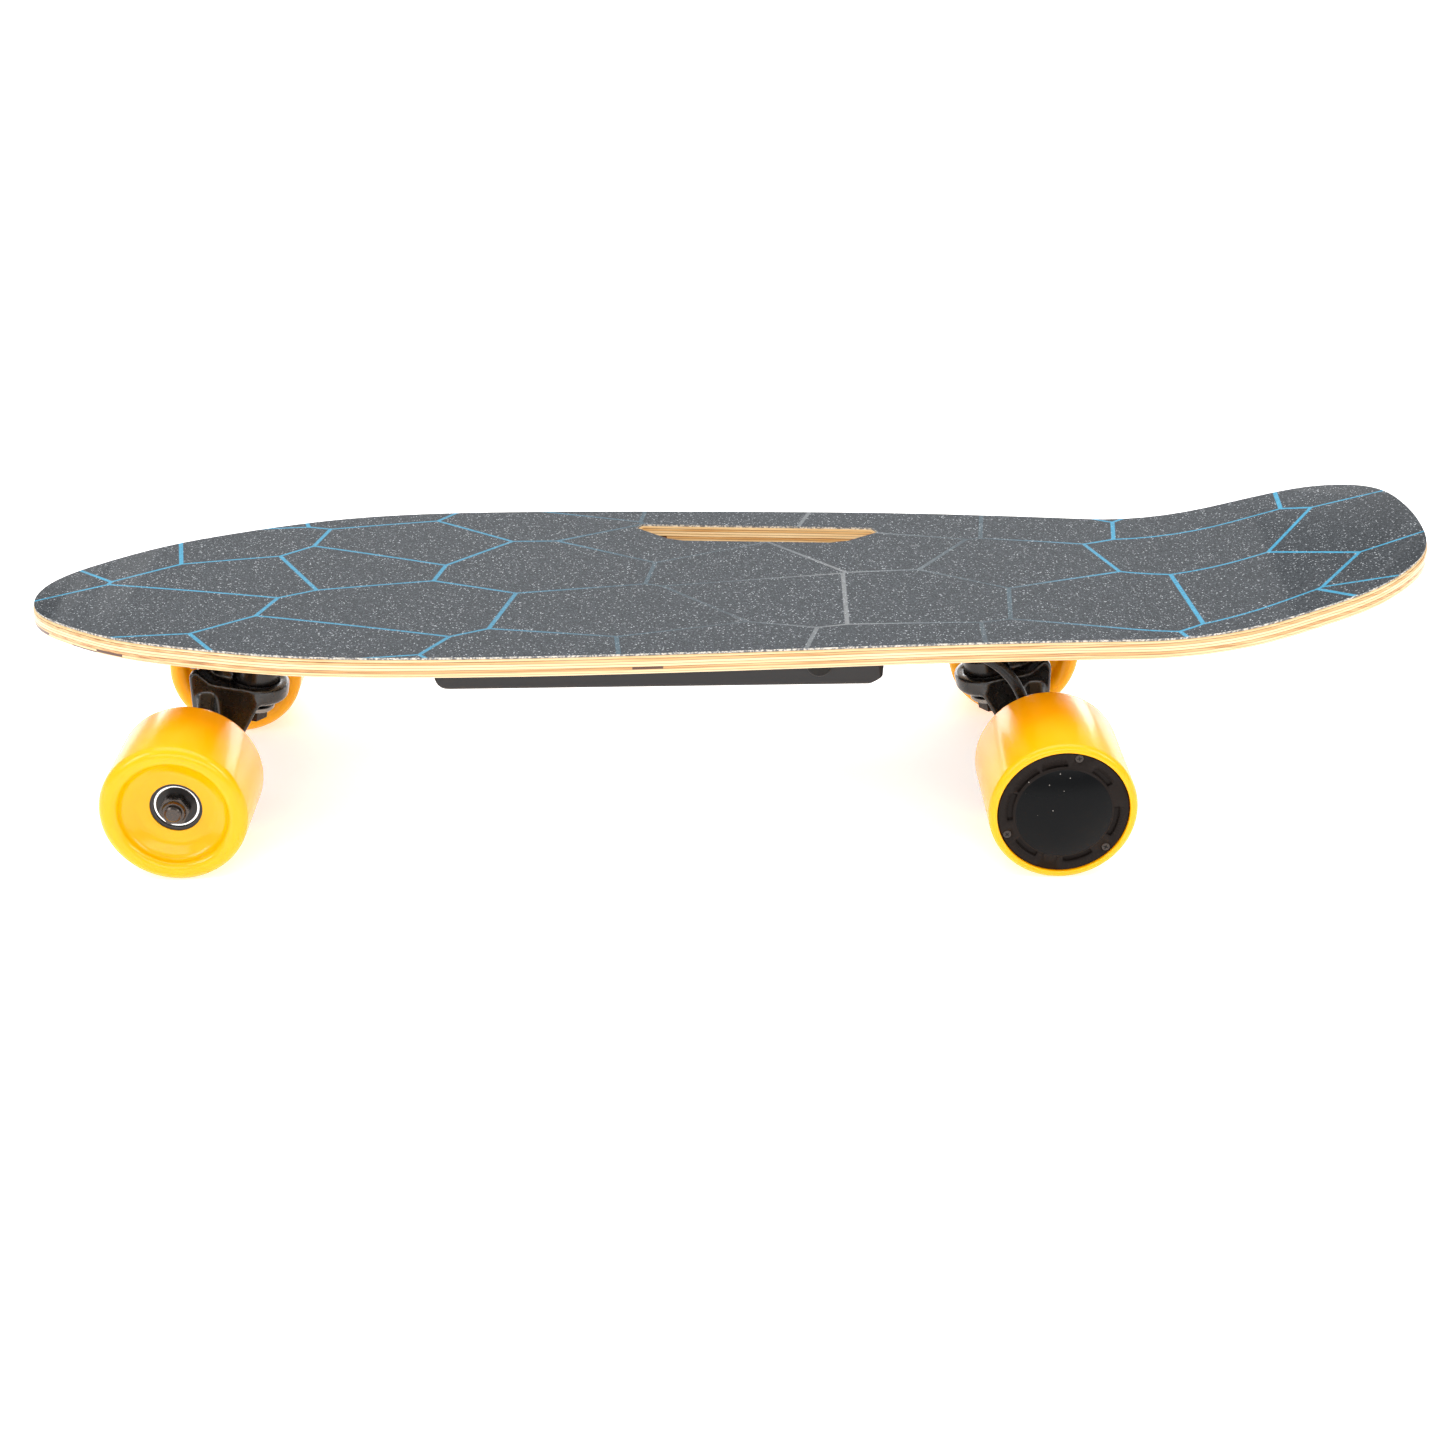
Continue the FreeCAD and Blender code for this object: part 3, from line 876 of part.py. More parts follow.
# Battery: ten cells across the board in two moulded combs that stand on the tray's floor
FIRST_CELL, CELL_Z = "(tray_front + 23.8)", "(tray_top - 0.3 - cell_radius)"
cells = new_body("battery_cells", compound=True)
combs = new_body("battery_holder", compound=True)
circle_rows = new_sketch(cells, "ends", "XZ_Plane")
for number in range(10):
    circle(circle_rows, "%s + %d * cell_pitch" % (FIRST_CELL, number), CELL_Z, "cell_radius")
feature(cells, "Pad", "rods", circle_rows, "cell_length", middle=True)
for number, y in enumerate(("-24", "30")):
    comb = new_sketch(combs, "comb%d" % number, "XZ_Plane", y)
    seats = []
    for cell in range(10):
        middle = "%s + %d * cell_pitch" % (FIRST_CELL, cell)
        reach = "sqrt((cell_radius + 0.05)^2 - 1)"
        seats += [("%s + %s" % (middle, reach), "%s - 1" % CELL_Z, "cw", "cell_radius + 0.05"),
                  ("%s - %s" % (middle, reach), "%s - 1" % CELL_Z)]
    low_x, high_x = "%s - cell_radius - 0.6" % FIRST_CELL, "%s + 9 * cell_pitch + cell_radius + 0.6" % FIRST_CELL
    ordered = []
    for cell in reversed(range(10)):
        ordered += seats[2 * cell:2 * cell + 2]
    outline(comb, [(low_x, "tray_bottom + tray_wall + 1"), ("tray_front + 18", "tray_bottom + tray_wall"),
                   (high_x, "tray_bottom + tray_wall"), (high_x, "%s - 1" % CELL_Z)] + ordered
            + [(low_x, "%s - 1" % CELL_Z)])
    feature(combs, "Pad", "comb_pad%d" % number, comb, "6", back=True)

# Electronics on the tray's floor: the battery's board and the motor controller in its aluminium case
bms = new_body("battery_management_board")
board = new_sketch(bms, "board", "XY_Plane", "tray_bottom + tray_wall")
rectangle(board, "-114", "-21", "-16", "21")
feature(bms, "Pad", "laminate", board, "1.6")
chips = new_sketch(bms, "chips", "XY_Plane", "tray_bottom + tray_wall + 1.6")
for column in range(6):
    for row in range(2):
        low_x, low_y = -108 + 15 * column, -15 + 18 * row
        rectangle(chips, str(low_x), str(low_y), str(low_x + 9), str(low_y + 11))
feature(bms, "Pad", "components", chips, "3")
controller = new_body("motor_controller")
case = new_sketch(controller, "case", "XY_Plane", "tray_bottom + tray_wall")
rectangle(case, "-6", "-21", "52", "21")
feature(controller, "Pad", "box", case, "4")
fins = new_sketch(controller, "fins", "XY_Plane", "tray_bottom + tray_wall + 4")
for number in range(7):
    rectangle(fins, "-4", str(-19 + 6 * number), "50", str(-17 + 6 * number))
feature(controller, "Pad", "cooling_fins", fins, "3.5")

# Charge socket with its rubber cap; its own frame runs outward along +y
socket = turned("charge_socket", [
    ("0", "-7"), ("6.6", "-7"), ("6.6", "1.4"), ("6.2", "1.8"), ("5.2", "1.8"), ("5.2", "-4"), ("0", "-4")])
cap = turned("charge_cap", [
    ("0", "-2"), ("5.1", "-2"), ("5.1", "1.9"), ("5.9", "1.9"), ("5.9", "2.6"), ("5.3", "3.2"), ("0", "3.2")])
WALL_Y = "(tray_half_width - (tray_top - %s) * tan(tray_draft))" % SOCKET_Z
for piece in (socket, cap):
    place(piece, SOCKET_X, "-" + WALL_Y, SOCKET_Z, angle="180")
# Power switch: a round housing through the rear wall and a sprung button in it; outward is +y in its own frame
switch = turned("power_switch", [
    ("0", "-14"), ("6", "-14"), ("6", "0.8"), ("7.6", "0.8"), ("7.6", "1.6"), ("7", "2.2"), ("4.8", "2.2"),
    ("4.8", "-9"), ("0", "-9")])
button = turned("power_button", [("0", "-6"), ("4.5", "-6"), ("4.5", "3"), ("3.9", "3.6"), ("0", "3.6")])
for piece in (switch, button):
    place(piece, "tray_rear - (tray_top - %s) * tan(tray_draft)" % SWITCH_Z, SWITCH_Y, SWITCH_Z, angle="-90")
# Cable gland: a threaded sleeve with a round nut inside and a dome outside
gland = turned("cable_gland", [
    ("cable_radius", "-6.4"), ("5.4", "-6.4"), ("5.4", "-4.5"), ("4.5", "-4.5"), ("4.5", "0.6"), ("6", "0.6"),
    ("6", "3"), ("4.6", "5.4"), ("cable_radius", "5.4")])
place(gland, "tray_rear - (tray_top - %s) * tan(tray_draft)" % GLAND_Z, GLAND_Y, GLAND_Z, angle="-90")


def cable(label, run, radius):
    """A round cable along straight runs joined by tangent arcs."""
    points = [Vector(*[size(value) for value in point]) for point in run]
    edges = []
    start = points[0]
    for before, corner, after in zip(points, points[1:], points[2:]):
        arriving = (corner - before).normalize()
        leaving = (after - corner).normalize()
        half = math.acos(arriving.dot(leaving)) / 2
        reach = 0.45 * min((corner - before).Length, (after - corner).Length)
        bend = reach / math.tan(half)
        print("%s bend radius %.1f mm" % (label, bend))
        middle = corner + (leaving - arriving).normalize() * (bend / math.cos(half) - bend)
        edges.append(Part.LineSegment(start, corner - arriving * reach))
        edges.append(Part.Arc(corner - arriving * reach, middle, corner + leaving * reach))
        start = corner + leaving * reach
    edges.append(Part.LineSegment(start, points[-1]))
    path = Part.Wire([edge.toShape() for edge in edges])
    section = Part.Wire(Part.Circle(points[0], points[1] - points[0], radius).toShape())
    made = doc.addObject("Part::Feature", label)
    made.Shape = path.makePipeShell([section], True, False)
    print("%s length %.1f mm, volume against section times length %.4f"
          % (label, path.Length, made.Shape.Volume / (math.pi * radius ** 2 * path.Length)))
    return made


# Motor cable: one rubber-sheathed lead from the enclosure's gland to the collar on the rear hanger
cable("motor_cable", CABLE_RUN, size("cable_radius"))

doc.recompute()
for item in doc.Objects:
    if "Invalid" in item.State or "Error" in item.State:
        raise RuntimeError("%s did not build" % item.Label)
os.makedirs("parts", exist_ok=True)
for item in doc.Objects:
    if item.TypeId not in ("PartDesign::Body", "Part::Feature"):
        continue
    if item.Shape.isNull() or not item.Shape.isValid():
        raise RuntimeError("%s has no valid shape" % item.Label)
    item.Shape.exportStep("parts/%s.step" % item.Label)
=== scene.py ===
import math

import bmesh
import bpy
from mathutils import Matrix, Vector


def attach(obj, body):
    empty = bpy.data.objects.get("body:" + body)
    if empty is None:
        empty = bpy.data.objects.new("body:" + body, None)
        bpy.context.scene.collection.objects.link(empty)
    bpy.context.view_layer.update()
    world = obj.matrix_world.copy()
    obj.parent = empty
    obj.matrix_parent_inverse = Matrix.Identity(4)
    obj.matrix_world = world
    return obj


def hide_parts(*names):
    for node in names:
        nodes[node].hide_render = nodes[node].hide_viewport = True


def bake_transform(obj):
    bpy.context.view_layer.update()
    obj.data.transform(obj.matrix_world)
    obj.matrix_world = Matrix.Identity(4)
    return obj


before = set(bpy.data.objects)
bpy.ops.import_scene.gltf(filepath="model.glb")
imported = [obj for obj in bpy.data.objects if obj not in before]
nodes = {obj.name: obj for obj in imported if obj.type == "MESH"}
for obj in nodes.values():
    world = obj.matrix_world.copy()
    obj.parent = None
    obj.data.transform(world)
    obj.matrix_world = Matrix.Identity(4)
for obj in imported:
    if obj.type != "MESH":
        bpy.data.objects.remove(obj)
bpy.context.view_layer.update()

# The studio: a plain white paper floor that runs out of sight, a pale surround and five large soft lights.
# The paper gives back a lot of light, so that the board stands in a bright, almost shadowless room.


def linear(colour):
    """An sRGB hex colour as the linear values that a shader takes."""
    parts = [int(colour[i:i + 2], 16) / 255 for i in (1, 3, 5)]
    return tuple(p / 12.92 if p <= 0.04045 else ((p + 0.055) / 1.055) ** 2.4 for p in parts) + (1.0,)


def put(tree, kind, inputs=None, stops=None, **settings):
    """Adds a node with its settings, fills its inputs with values or links, and sets the stops of a ramp."""
    made = tree.nodes.new(kind)
    for name, value in settings.items():
        setattr(made, name, value)
    for name, value in (inputs or {}).items():
        if isinstance(value, bpy.types.NodeSocket):
            tree.links.new(value, made.inputs[name])
        else:
            made.inputs[name].default_value = value
    for number, (position, colour) in enumerate(stops or ()):
        element = made.color_ramp.elements[number] if number < 2 else made.color_ramp.elements.new(position)
        element.position = position
        element.color = linear(colour)
    return made


def finish_of(name, colour, roughness, metallic=0.0, **inputs):
    """A material of one finish: its tree and its shader are returned with it for the detail that follows."""
    material = bpy.data.materials.new(name)
    material.use_nodes = True
    shader = material.node_tree.nodes["Principled BSDF"]
    shader.inputs["Base Color"].default_value = linear(colour)
    shader.inputs["Roughness"].default_value = roughness
    shader.inputs["Metallic"].default_value = metallic
    for socket, value in inputs.items():
        shader.inputs[socket.replace("_", " ")].default_value = value
    return material, material.node_tree, shader


scene = bpy.context.scene
scene.view_settings.view_transform = "Standard"
paper_form = bmesh.new()
bmesh.ops.create_grid(paper_form, x_segments=1, y_segments=1, size=9)
paper_mesh = bpy.data.meshes.new("studio_floor")
paper_form.to_mesh(paper_mesh)
paper = bpy.data.objects.new("studio_floor", paper_mesh)
scene.collection.objects.link(paper)
white_paper, tree, shader = finish_of("matt white paper", "#FAF8F7", 0.6, Specular_IOR_Level=0.3,
                                      Emission_Strength=0.42)
shader.inputs["Emission Color"].default_value = linear("#FFFFFF")
paper_mesh.materials.append(white_paper)

surround = bpy.data.worlds.new("studio")
scene.world = surround
surround.use_nodes = True
surround.node_tree.nodes["Background"].inputs["Color"].default_value = linear("#F7F8FA")
surround.node_tree.nodes["Background"].inputs["Strength"].default_value = 0.72
for name, place, aim, width, height, power in (
        ("overhead", (0.0, 0.15, 1.9), (0.0, 0.0, 0.0), 2.2, 1.3, 24),
        ("front_fill", (0.0, -1.9, 1.0), (0.0, 0.0, 0.04), 2.4, 0.7, 14),
        ("back_fill", (0.0, 1.5, 0.35), (0.0, 0.0, 0.05), 2.0, 0.5, 15),
        ("left_window", (-1.5, -0.9, 1.1), (-0.1, 0.0, 0.05), 0.6, 1.1, 12),
        ("right_window", (1.5, -0.8, 1.2), (0.1, 0.0, 0.05), 0.6, 1.1, 11)):
    light = bpy.data.objects.new(name, bpy.data.lights.new(name, "AREA"))
    light.data.shape = "RECTANGLE"
    light.data.size = width
    light.data.size_y = height
    light.data.energy = power
    light.visible_camera = False
    light.location = place
    light.rotation_euler = (Vector(aim) - Vector(place)).to_track_quat("-Z", "Y").to_euler()
    scene.collection.objects.link(light)

# The camera stands where the photographer stood: in front of the near long side, half a metre up and a metre off.
camera = bpy.data.objects.new("photographer", bpy.data.cameras.new("photographer"))
scene.collection.objects.link(camera)
YAW, PITCH, ROLL = 0.008, 0.449, -0.010
FOCAL_PIXELS, PICTURE_PIXELS, SENSOR_MM = 2266.9, 1445, 36
ahead = Vector((math.sin(YAW) * math.cos(PITCH), math.cos(YAW) * math.cos(PITCH), -math.sin(PITCH)))
level = Vector((math.cos(YAW), -math.sin(YAW), 0))
rise = level.cross(ahead)
right = level * math.cos(ROLL) + rise * math.sin(ROLL)
above = rise * math.cos(ROLL) - level * math.sin(ROLL)
turned = Matrix((right, above, -ahead)).transposed().to_4x4()
camera.matrix_world = Matrix.Translation((-0.0091, -1.0489, 0.5345)) @ turned
camera.data.sensor_width = SENSOR_MM
camera.data.lens = FOCAL_PIXELS / PICTURE_PIXELS * SENSOR_MM
scene.camera = camera

# Deck: seven maple plies pressed and glued, cut to shape, with the edge rounded by a router and lacquered. The edge
# shows the plies as pale and dark lines; now and then a gap between two strips of veneer shows as a dark dash.
PLY_MM = 9.5 / 7
TOP = 0.109
FLAT_FRONT, FLAT_REAR, KICK_START = -0.124, 0.056, 0.193
BOW_RADIUS, KICK_RADIUS, KICK_ANGLE = 4.2, 0.235, math.radians(15.8)
HALF_LENGTH = 0.3425


def deck_height(x):
    """Height of the wood's top at a place along the board: bowed at the nose, flat, bowed again, then the kick."""
    if x < FLAT_FRONT:
        return TOP - BOW_RADIUS + math.sqrt(BOW_RADIUS ** 2 - (x - FLAT_FRONT) ** 2)
    if x <= FLAT_REAR:
        return TOP
    if x <= KICK_START:
        return TOP - BOW_RADIUS + math.sqrt(BOW_RADIUS ** 2 - (x - FLAT_REAR) ** 2)
    fall = math.asin((KICK_START - FLAT_REAR) / BOW_RADIUS)
    centre_x = KICK_START + KICK_RADIUS * math.sin(fall)
    centre_z = TOP - BOW_RADIUS * (1 - math.cos(fall)) + KICK_RADIUS * math.cos(fall)
    rise_end = centre_x + KICK_RADIUS * math.sin(KICK_ANGLE)
    if x <= rise_end:
        return centre_z - math.sqrt(KICK_RADIUS ** 2 - (x - centre_x) ** 2)
    return centre_z - KICK_RADIUS * math.cos(KICK_ANGLE) + (x - rise_end) * math.tan(KICK_ANGLE)


def shown(name, mesh, body, material, replaced=(), smooth=35):
    """Puts a finished mesh in the scene as a piece; it rides on a body, unless that is None."""
    mesh.materials.clear()
    mesh.materials.append(material)
    piece = bpy.data.objects.new(name, mesh)
    scene.collection.objects.link(piece)
    if smooth:
        mesh.shade_smooth()
        mesh.set_sharp_from_angle(angle=math.radians(smooth))
    if body:
        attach(piece, body)
    if replaced:
        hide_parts(*replaced)
    return piece


def merged(name, node):
    """A copy of a CAD node's mesh with its loose triangles joined."""
    form = bmesh.new()
    form.from_mesh(nodes[node].data)
    bmesh.ops.remove_doubles(form, verts=form.verts, dist=2e-6)
    mesh = bpy.data.meshes.new(name)
    form.to_mesh(mesh)
    form.free()
    return mesh


maple, tree, shader = finish_of("lacquered maple plies", "#E9C08A", 0.36, Coat_Weight=0.3, Coat_Roughness=0.2)
depth = put(tree, "ShaderNodeAttribute", attribute_name="depth")
where = put(tree, "ShaderNodeTexCoord")
# wavering by about 0.2 mm, as veneers do when they are pressed
waver = put(tree, "ShaderNodeTexNoise", {"Vector": where.outputs["Object"], "Scale": 18.0, "Detail": 2.0})
wavered = put(tree, "ShaderNodeMath", {0: waver.outputs["Fac"], 1: 0.55, 2: depth.outputs["Fac"]},
              operation="MULTIPLY_ADD")
plies = put(tree, "ShaderNodeMath", {0: wavered.outputs[0], 1: PLY_MM}, operation="DIVIDE")
within = put(tree, "ShaderNodeMath", {0: plies.outputs[0]}, operation="FRACT")
number = put(tree, "ShaderNodeMath", {0: plies.outputs[0]}, operation="FLOOR")
tone = put(tree, "ShaderNodeTexWhiteNoise", {"W": number.outputs[0]}, noise_dimensions="1D")
# grain about 0.4 mm thick and up to 70 mm long
long_way = put(tree, "ShaderNodeMapping", {"Vector": where.outputs["Object"], "Scale": (14, 300, 2600)})
grain = put(tree, "ShaderNodeTexNoise",
            {"Vector": long_way.outputs[0], "Scale": 1.0, "Detail": 4.0, "Roughness": 0.6})
both = put(tree, "ShaderNodeMath", {0: tone.outputs["Value"], 1: 0.36, 2: grain.outputs["Fac"]},
           operation="MULTIPLY_ADD")
veneer = put(tree, "ShaderNodeValToRGB", {"Fac": both.outputs[0]},
             stops=[(0.36, "#9C6430"), (0.90, "#F0D6A8"), (0.50, "#CC9A5C"), (0.66, "#E2BD86")])
glue_line = put(tree, "ShaderNodeValToRGB", {"Fac": within.outputs[0]},
                stops=[(0.0, "#FFFFFF"), (0.28, "#000000"), (0.14, "#C8C8C8")])
edge_colour = put(tree, "ShaderNodeMix", {0: glue_line.outputs["Color"], 6: veneer.outputs["Color"],
                                          7: linear("#6E3F1A")}, data_type="RGBA")
# gaps between veneer strips: a few dark dashes, 14 mm long or a multiple of it, inside single plies
along = put(tree, "ShaderNodeSeparateXYZ", {"Vector": where.outputs["Object"]})
stretch = put(tree, "ShaderNodeMath", {0: along.outputs["X"], 1: 70.0}, operation="MULTIPLY")
dash_place = put(tree, "ShaderNodeCombineXYZ", {"X": stretch.outputs[0], "Y": number.outputs[0]})
dash_cell = put(tree, "ShaderNodeVectorMath", {0: dash_place.outputs[0]}, operation="FLOOR")
dashes = put(tree, "ShaderNodeTexWhiteNoise", {"Vector": dash_cell.outputs[0]}, noise_dimensions="3D")
gaps = put(tree, "ShaderNodeMath", {0: dashes.outputs["Value"], 1: 0.982}, operation="GREATER_THAN")
gap_colour = put(tree, "ShaderNodeMix", {0: gaps.outputs[0], 6: edge_colour.outputs[2], 7: linear("#4E280F")},
                 data_type="RGBA")
# the flat faces, top and bottom, are one veneer each
normal = put(tree, "ShaderNodeNewGeometry")
facing = put(tree, "ShaderNodeSeparateXYZ", {"Vector": normal.outputs["Normal"]})
flatness = put(tree, "ShaderNodeMath", {0: facing.outputs["Z"]}, operation="ABSOLUTE")
is_face = put(tree, "ShaderNodeMath", {0: flatness.outputs[0], 1: 0.93}, operation="GREATER_THAN")
broad = put(tree, "ShaderNodeMapping", {"Vector": where.outputs["Object"], "Scale": (5, 90, 90)})
figure = put(tree, "ShaderNodeTexNoise", {"Vector": broad.outputs[0], "Scale": 1.0, "Detail": 6.0, "Roughness": 0.6})
face_veneer = put(tree, "ShaderNodeValToRGB", {"Fac": figure.outputs["Fac"]},
                  stops=[(0.3, "#CFA36C"), (0.7, "#E8CC9B")])
wood = put(tree, "ShaderNodeMix", {0: is_face.outputs[0], 6: gap_colour.outputs[2], 7: face_veneer.outputs["Color"]},
           data_type="RGBA")
tree.links.new(wood.outputs[2], shader.inputs["Base Color"])
fine = put(tree, "ShaderNodeBump", {"Height": grain.outputs["Fac"], "Strength": 0.15, "Distance": 0.0003})
tree.links.new(fine.outputs["Normal"], shader.inputs["Normal"])

deck = shown("maple_deck", merged("maple_deck", "deck"), "board", maple, ("deck",))
depths = deck.data.attributes.new("depth", "FLOAT", "POINT")
for vertex in deck.data.vertices:
    depths.data[vertex.index].value = (deck_height(vertex.co.x) - vertex.co.z) * 1000

# Grip tape: silicon carbide grit bonded to a glued sheet and trimmed with a knife, which leaves a pale frayed rim.
# It is printed with an irregular net, blue at both ends and grey in the middle, laid out for this model.
grit, tree, shader = finish_of("printed silicon carbide grip tape", "#44484C", 0.78, Specular_IOR_Level=0.3)
where = put(tree, "ShaderNodeTexCoord")
axes = put(tree, "ShaderNodeSeparateXYZ", {"Vector": where.outputs["Object"]})
# the real grit is 0.2 to 0.3 mm; it is drawn about twice as coarse, so that single grains still show
grains = put(tree, "ShaderNodeTexVoronoi", {"Vector": where.outputs["Object"], "Scale": 1900.0})
lots = put(tree, "ShaderNodeSeparateColor", {"Color": grains.outputs["Color"]})
speckle = put(tree, "ShaderNodeValToRGB", {"Fac": lots.outputs["Red"]},
              stops=[(0.0, "#2C2F32"), (0.90, "#474B4F"), (0.965, "#6C7074"), (0.985, "#AFB3B6")])
cells = put(tree, "ShaderNodeMapping", {"Vector": where.outputs["Object"], "Location": (3.37, 7.12, 0.0),
                                        "Scale": (11.8, 20.5, 0.0)})
# cells about 85 by 49 mm; a line along the board comes out 1.2 mm wide, one across it nearly twice that
net = put(tree, "ShaderNodeTexVoronoi", {"Vector": cells.outputs[0], "Scale": 1.0, "Randomness": 0.82},
          feature="DISTANCE_TO_EDGE", voronoi_dimensions="2D")
line = put(tree, "ShaderNodeMapRange", {"Value": net.outputs["Distance"], "From Min": 0.0150, "From Max": 0.0105,
                                        "To Min": 0.0, "To Max": 1.0})
length_part = put(tree, "ShaderNodeMapRange", {"Value": axes.outputs["X"], "From Min": -HALF_LENGTH,
                                               "From Max": HALF_LENGTH})
ink = put(tree, "ShaderNodeValToRGB", {"Fac": length_part.outputs[0]},
          stops=[(0.0, "#479FC2"), (1.0, "#479FC2"), (0.33, "#4A98B8"), (0.46, "#6A8692"), (0.58, "#A3A4A4"),
                 (0.69, "#78909A"), (0.79, "#489DC0")])
strength = put(tree, "ShaderNodeValToRGB", {"Fac": length_part.outputs[0]},
               stops=[(0.0, "#F4F4F4"), (1.0, "#F4F4F4"), (0.34, "#E0E0E0"), (0.43, "#909090"), (0.50, "#6A6A6A"),
                      (0.60, "#C4C4C4"), (0.69, "#707070"), (0.78, "#ECECEC")])
inked = put(tree, "ShaderNodeMath", {0: line.outputs[0], 1: strength.outputs["Color"]}, operation="MULTIPLY")
bitten = put(tree, "ShaderNodeMapRange", {"Value": lots.outputs["Green"], "From Min": 0.0, "From Max": 0.25,
                                          "To Min": 0.35, "To Max": 1.0})
printed = put(tree, "ShaderNodeMath", {0: inked.outputs[0], 1: bitten.outputs[0]}, operation="MULTIPLY")
top_colour = put(tree, "ShaderNodeMix", {0: printed.outputs[0], 6: speckle.outputs["Color"],
                                         7: ink.outputs["Color"]}, data_type="RGBA")
turned_away = put(tree, "ShaderNodeSeparateXYZ", {"Vector": put(tree, "ShaderNodeNewGeometry").outputs["Normal"]})
is_rim = put(tree, "ShaderNodeMath", {0: turned_away.outputs["Z"], 1: 0.6}, operation="LESS_THAN")
fray = put(tree, "ShaderNodeTexNoise", {"Vector": where.outputs["Object"], "Scale": 900.0, "Detail": 2.0})
rim_colour = put(tree, "ShaderNodeValToRGB", {"Fac": fray.outputs["Fac"]},
                 stops=[(0.42, "#66676A"), (0.60, "#D6D0C4")])
tape_colour = put(tree, "ShaderNodeMix", {0: is_rim.outputs[0], 6: top_colour.outputs[2],
                                          7: rim_colour.outputs["Color"]}, data_type="RGBA")
tree.links.new(tape_colour.outputs[2], shader.inputs["Base Color"])
rough = put(tree, "ShaderNodeBump", {"Height": grains.outputs["Distance"], "Strength": 0.45, "Distance": 0.0004})
tree.links.new(rough.outputs["Normal"], shader.inputs["Normal"])
shown("grip_tape_sheet", merged("grip_tape_sheet", "grip_tape"), "board", grit, ("grip_tape",))

# Threaded inserts: turned brass sleeves pressed into the wood from below; their knurled outsides bite into it.


def surface(tree, shader, grain_mm, height_mm, scatter=0.0, stretch=(1, 1, 1)):
    """Gives a finish its own fine texture: a noise of a real grain size moves the surface and the roughness."""
    here = put(tree, "ShaderNodeTexCoord")
    laid = put(tree, "ShaderNodeMapping", {"Vector": here.outputs["Object"], "Scale": stretch})
    # one cell of the noise holds a bump and a hollow, so it is two grains wide
    noise = put(tree, "ShaderNodeTexNoise", {"Vector": laid.outputs[0], "Scale": 500.0 / grain_mm, "Detail": 3.0})
    raised = put(tree, "ShaderNodeBump", {"Height": noise.outputs["Fac"], "Strength": 0.6,
                                          "Distance": height_mm / 1000})
    tree.links.new(raised.outputs["Normal"], shader.inputs["Normal"])
    if scatter:
        base = shader.inputs["Roughness"].default_value
        spread = put(tree, "ShaderNodeMapRange", {"Value": noise.outputs["Fac"], "From Min": 0.3, "From Max": 0.7,
                                                  "To Min": base - scatter, "To Max": base + scatter})
        tree.links.new(spread.outputs[0], shader.inputs["Roughness"])


def dress(material, *names):
    """Gives CAD nodes that keep their shape a material of their own."""
    for name in names:
        if nodes[name].material_slots:
            for holder in nodes[name].material_slots:
                holder.material = material
        else:
            nodes[name].data.materials.append(material)


brass, tree, shader = finish_of("turned brass", "#C9A356", 0.3, 1.0)
surface(tree, shader, 0.4, 0.02, 0.08, (1, 1, 12))
dress(brass, "threaded_inserts")

# Enclosure: an ABS tray, injection moulded with a fine spark-eroded texture, on a foam gasket, held by six screws.
abs_black, tree, shader = finish_of("textured black ABS", "#1D1D1F", 0.42, Specular_IOR_Level=0.4)
surface(tree, shader, 0.5, 0.03, 0.05)
dress(abs_black, "enclosure_tray", "charge_socket", "power_switch", "cable_gland")
foam, tree, shader = finish_of("closed-cell foam", "#151515", 0.9, Specular_IOR_Level=0.2)
surface(tree, shader, 0.9, 0.12)
dress(foam, "enclosure_gasket")
black_oxide, tree, shader = finish_of("black oxide steel", "#3A322E", 0.30, 0.9)
surface(tree, shader, 0.5, 0.015, 0.08)
dress(black_oxide, "enclosure_screws", "truck_screws")

# Battery and electronics, closed in the tray: cells in blue shrink wrap, moulded combs, a green glass-fibre board
# and an extruded aluminium controller case.
wrap, tree, shader = finish_of("blue PVC shrink wrap", "#1C4E9A", 0.22, Coat_Weight=0.3)
surface(tree, shader, 3.0, 0.03)
dress(wrap, "battery_cells")
nylon, tree, shader = finish_of("moulded black nylon", "#14110F", 0.33, Specular_IOR_Level=0.45)
surface(tree, shader, 0.7, 0.02, 0.05)
dress(nylon, "battery_holder")
laminate, tree, shader = finish_of("solder mask on glass fibre", "#0F4A2A", 0.35)
surface(tree, shader, 0.8, 0.03)
dress(laminate, "battery_management_board")
extruded, tree, shader = finish_of("extruded aluminium", "#B9BCC0", 0.35, 1.0)
surface(tree, shader, 0.5, 0.02, 0.08, (0.05, 1, 1))
dress(extruded, "motor_controller")

# Rubber parts: the charge socket's cap, the switch's button and the riser pads, all compression moulded.
rubber, tree, shader = finish_of("moulded black rubber", "#161514", 0.62, Specular_IOR_Level=0.35)
surface(tree, shader, 0.6, 0.04, 0.06)
dress(rubber, "charge_cap", "power_button", "front_riser_pad", "rear_riser_pad")

# Motor cable: a rubber-sheathed lead that leaves the enclosure through its gland, passes beside the rear baseplate
# and bends down into a collar on the hanger. It is one smooth tube, bent between the board and the truck.
CABLE_ROUTE = [(0.072, -0.020, 0.083), (0.099, -0.020, 0.083), (0.121, -0.036, 0.0836), (0.135, -0.0415, 0.078),
               (0.1455, -0.045, 0.066), (0.1528, -0.045, 0.0441)]


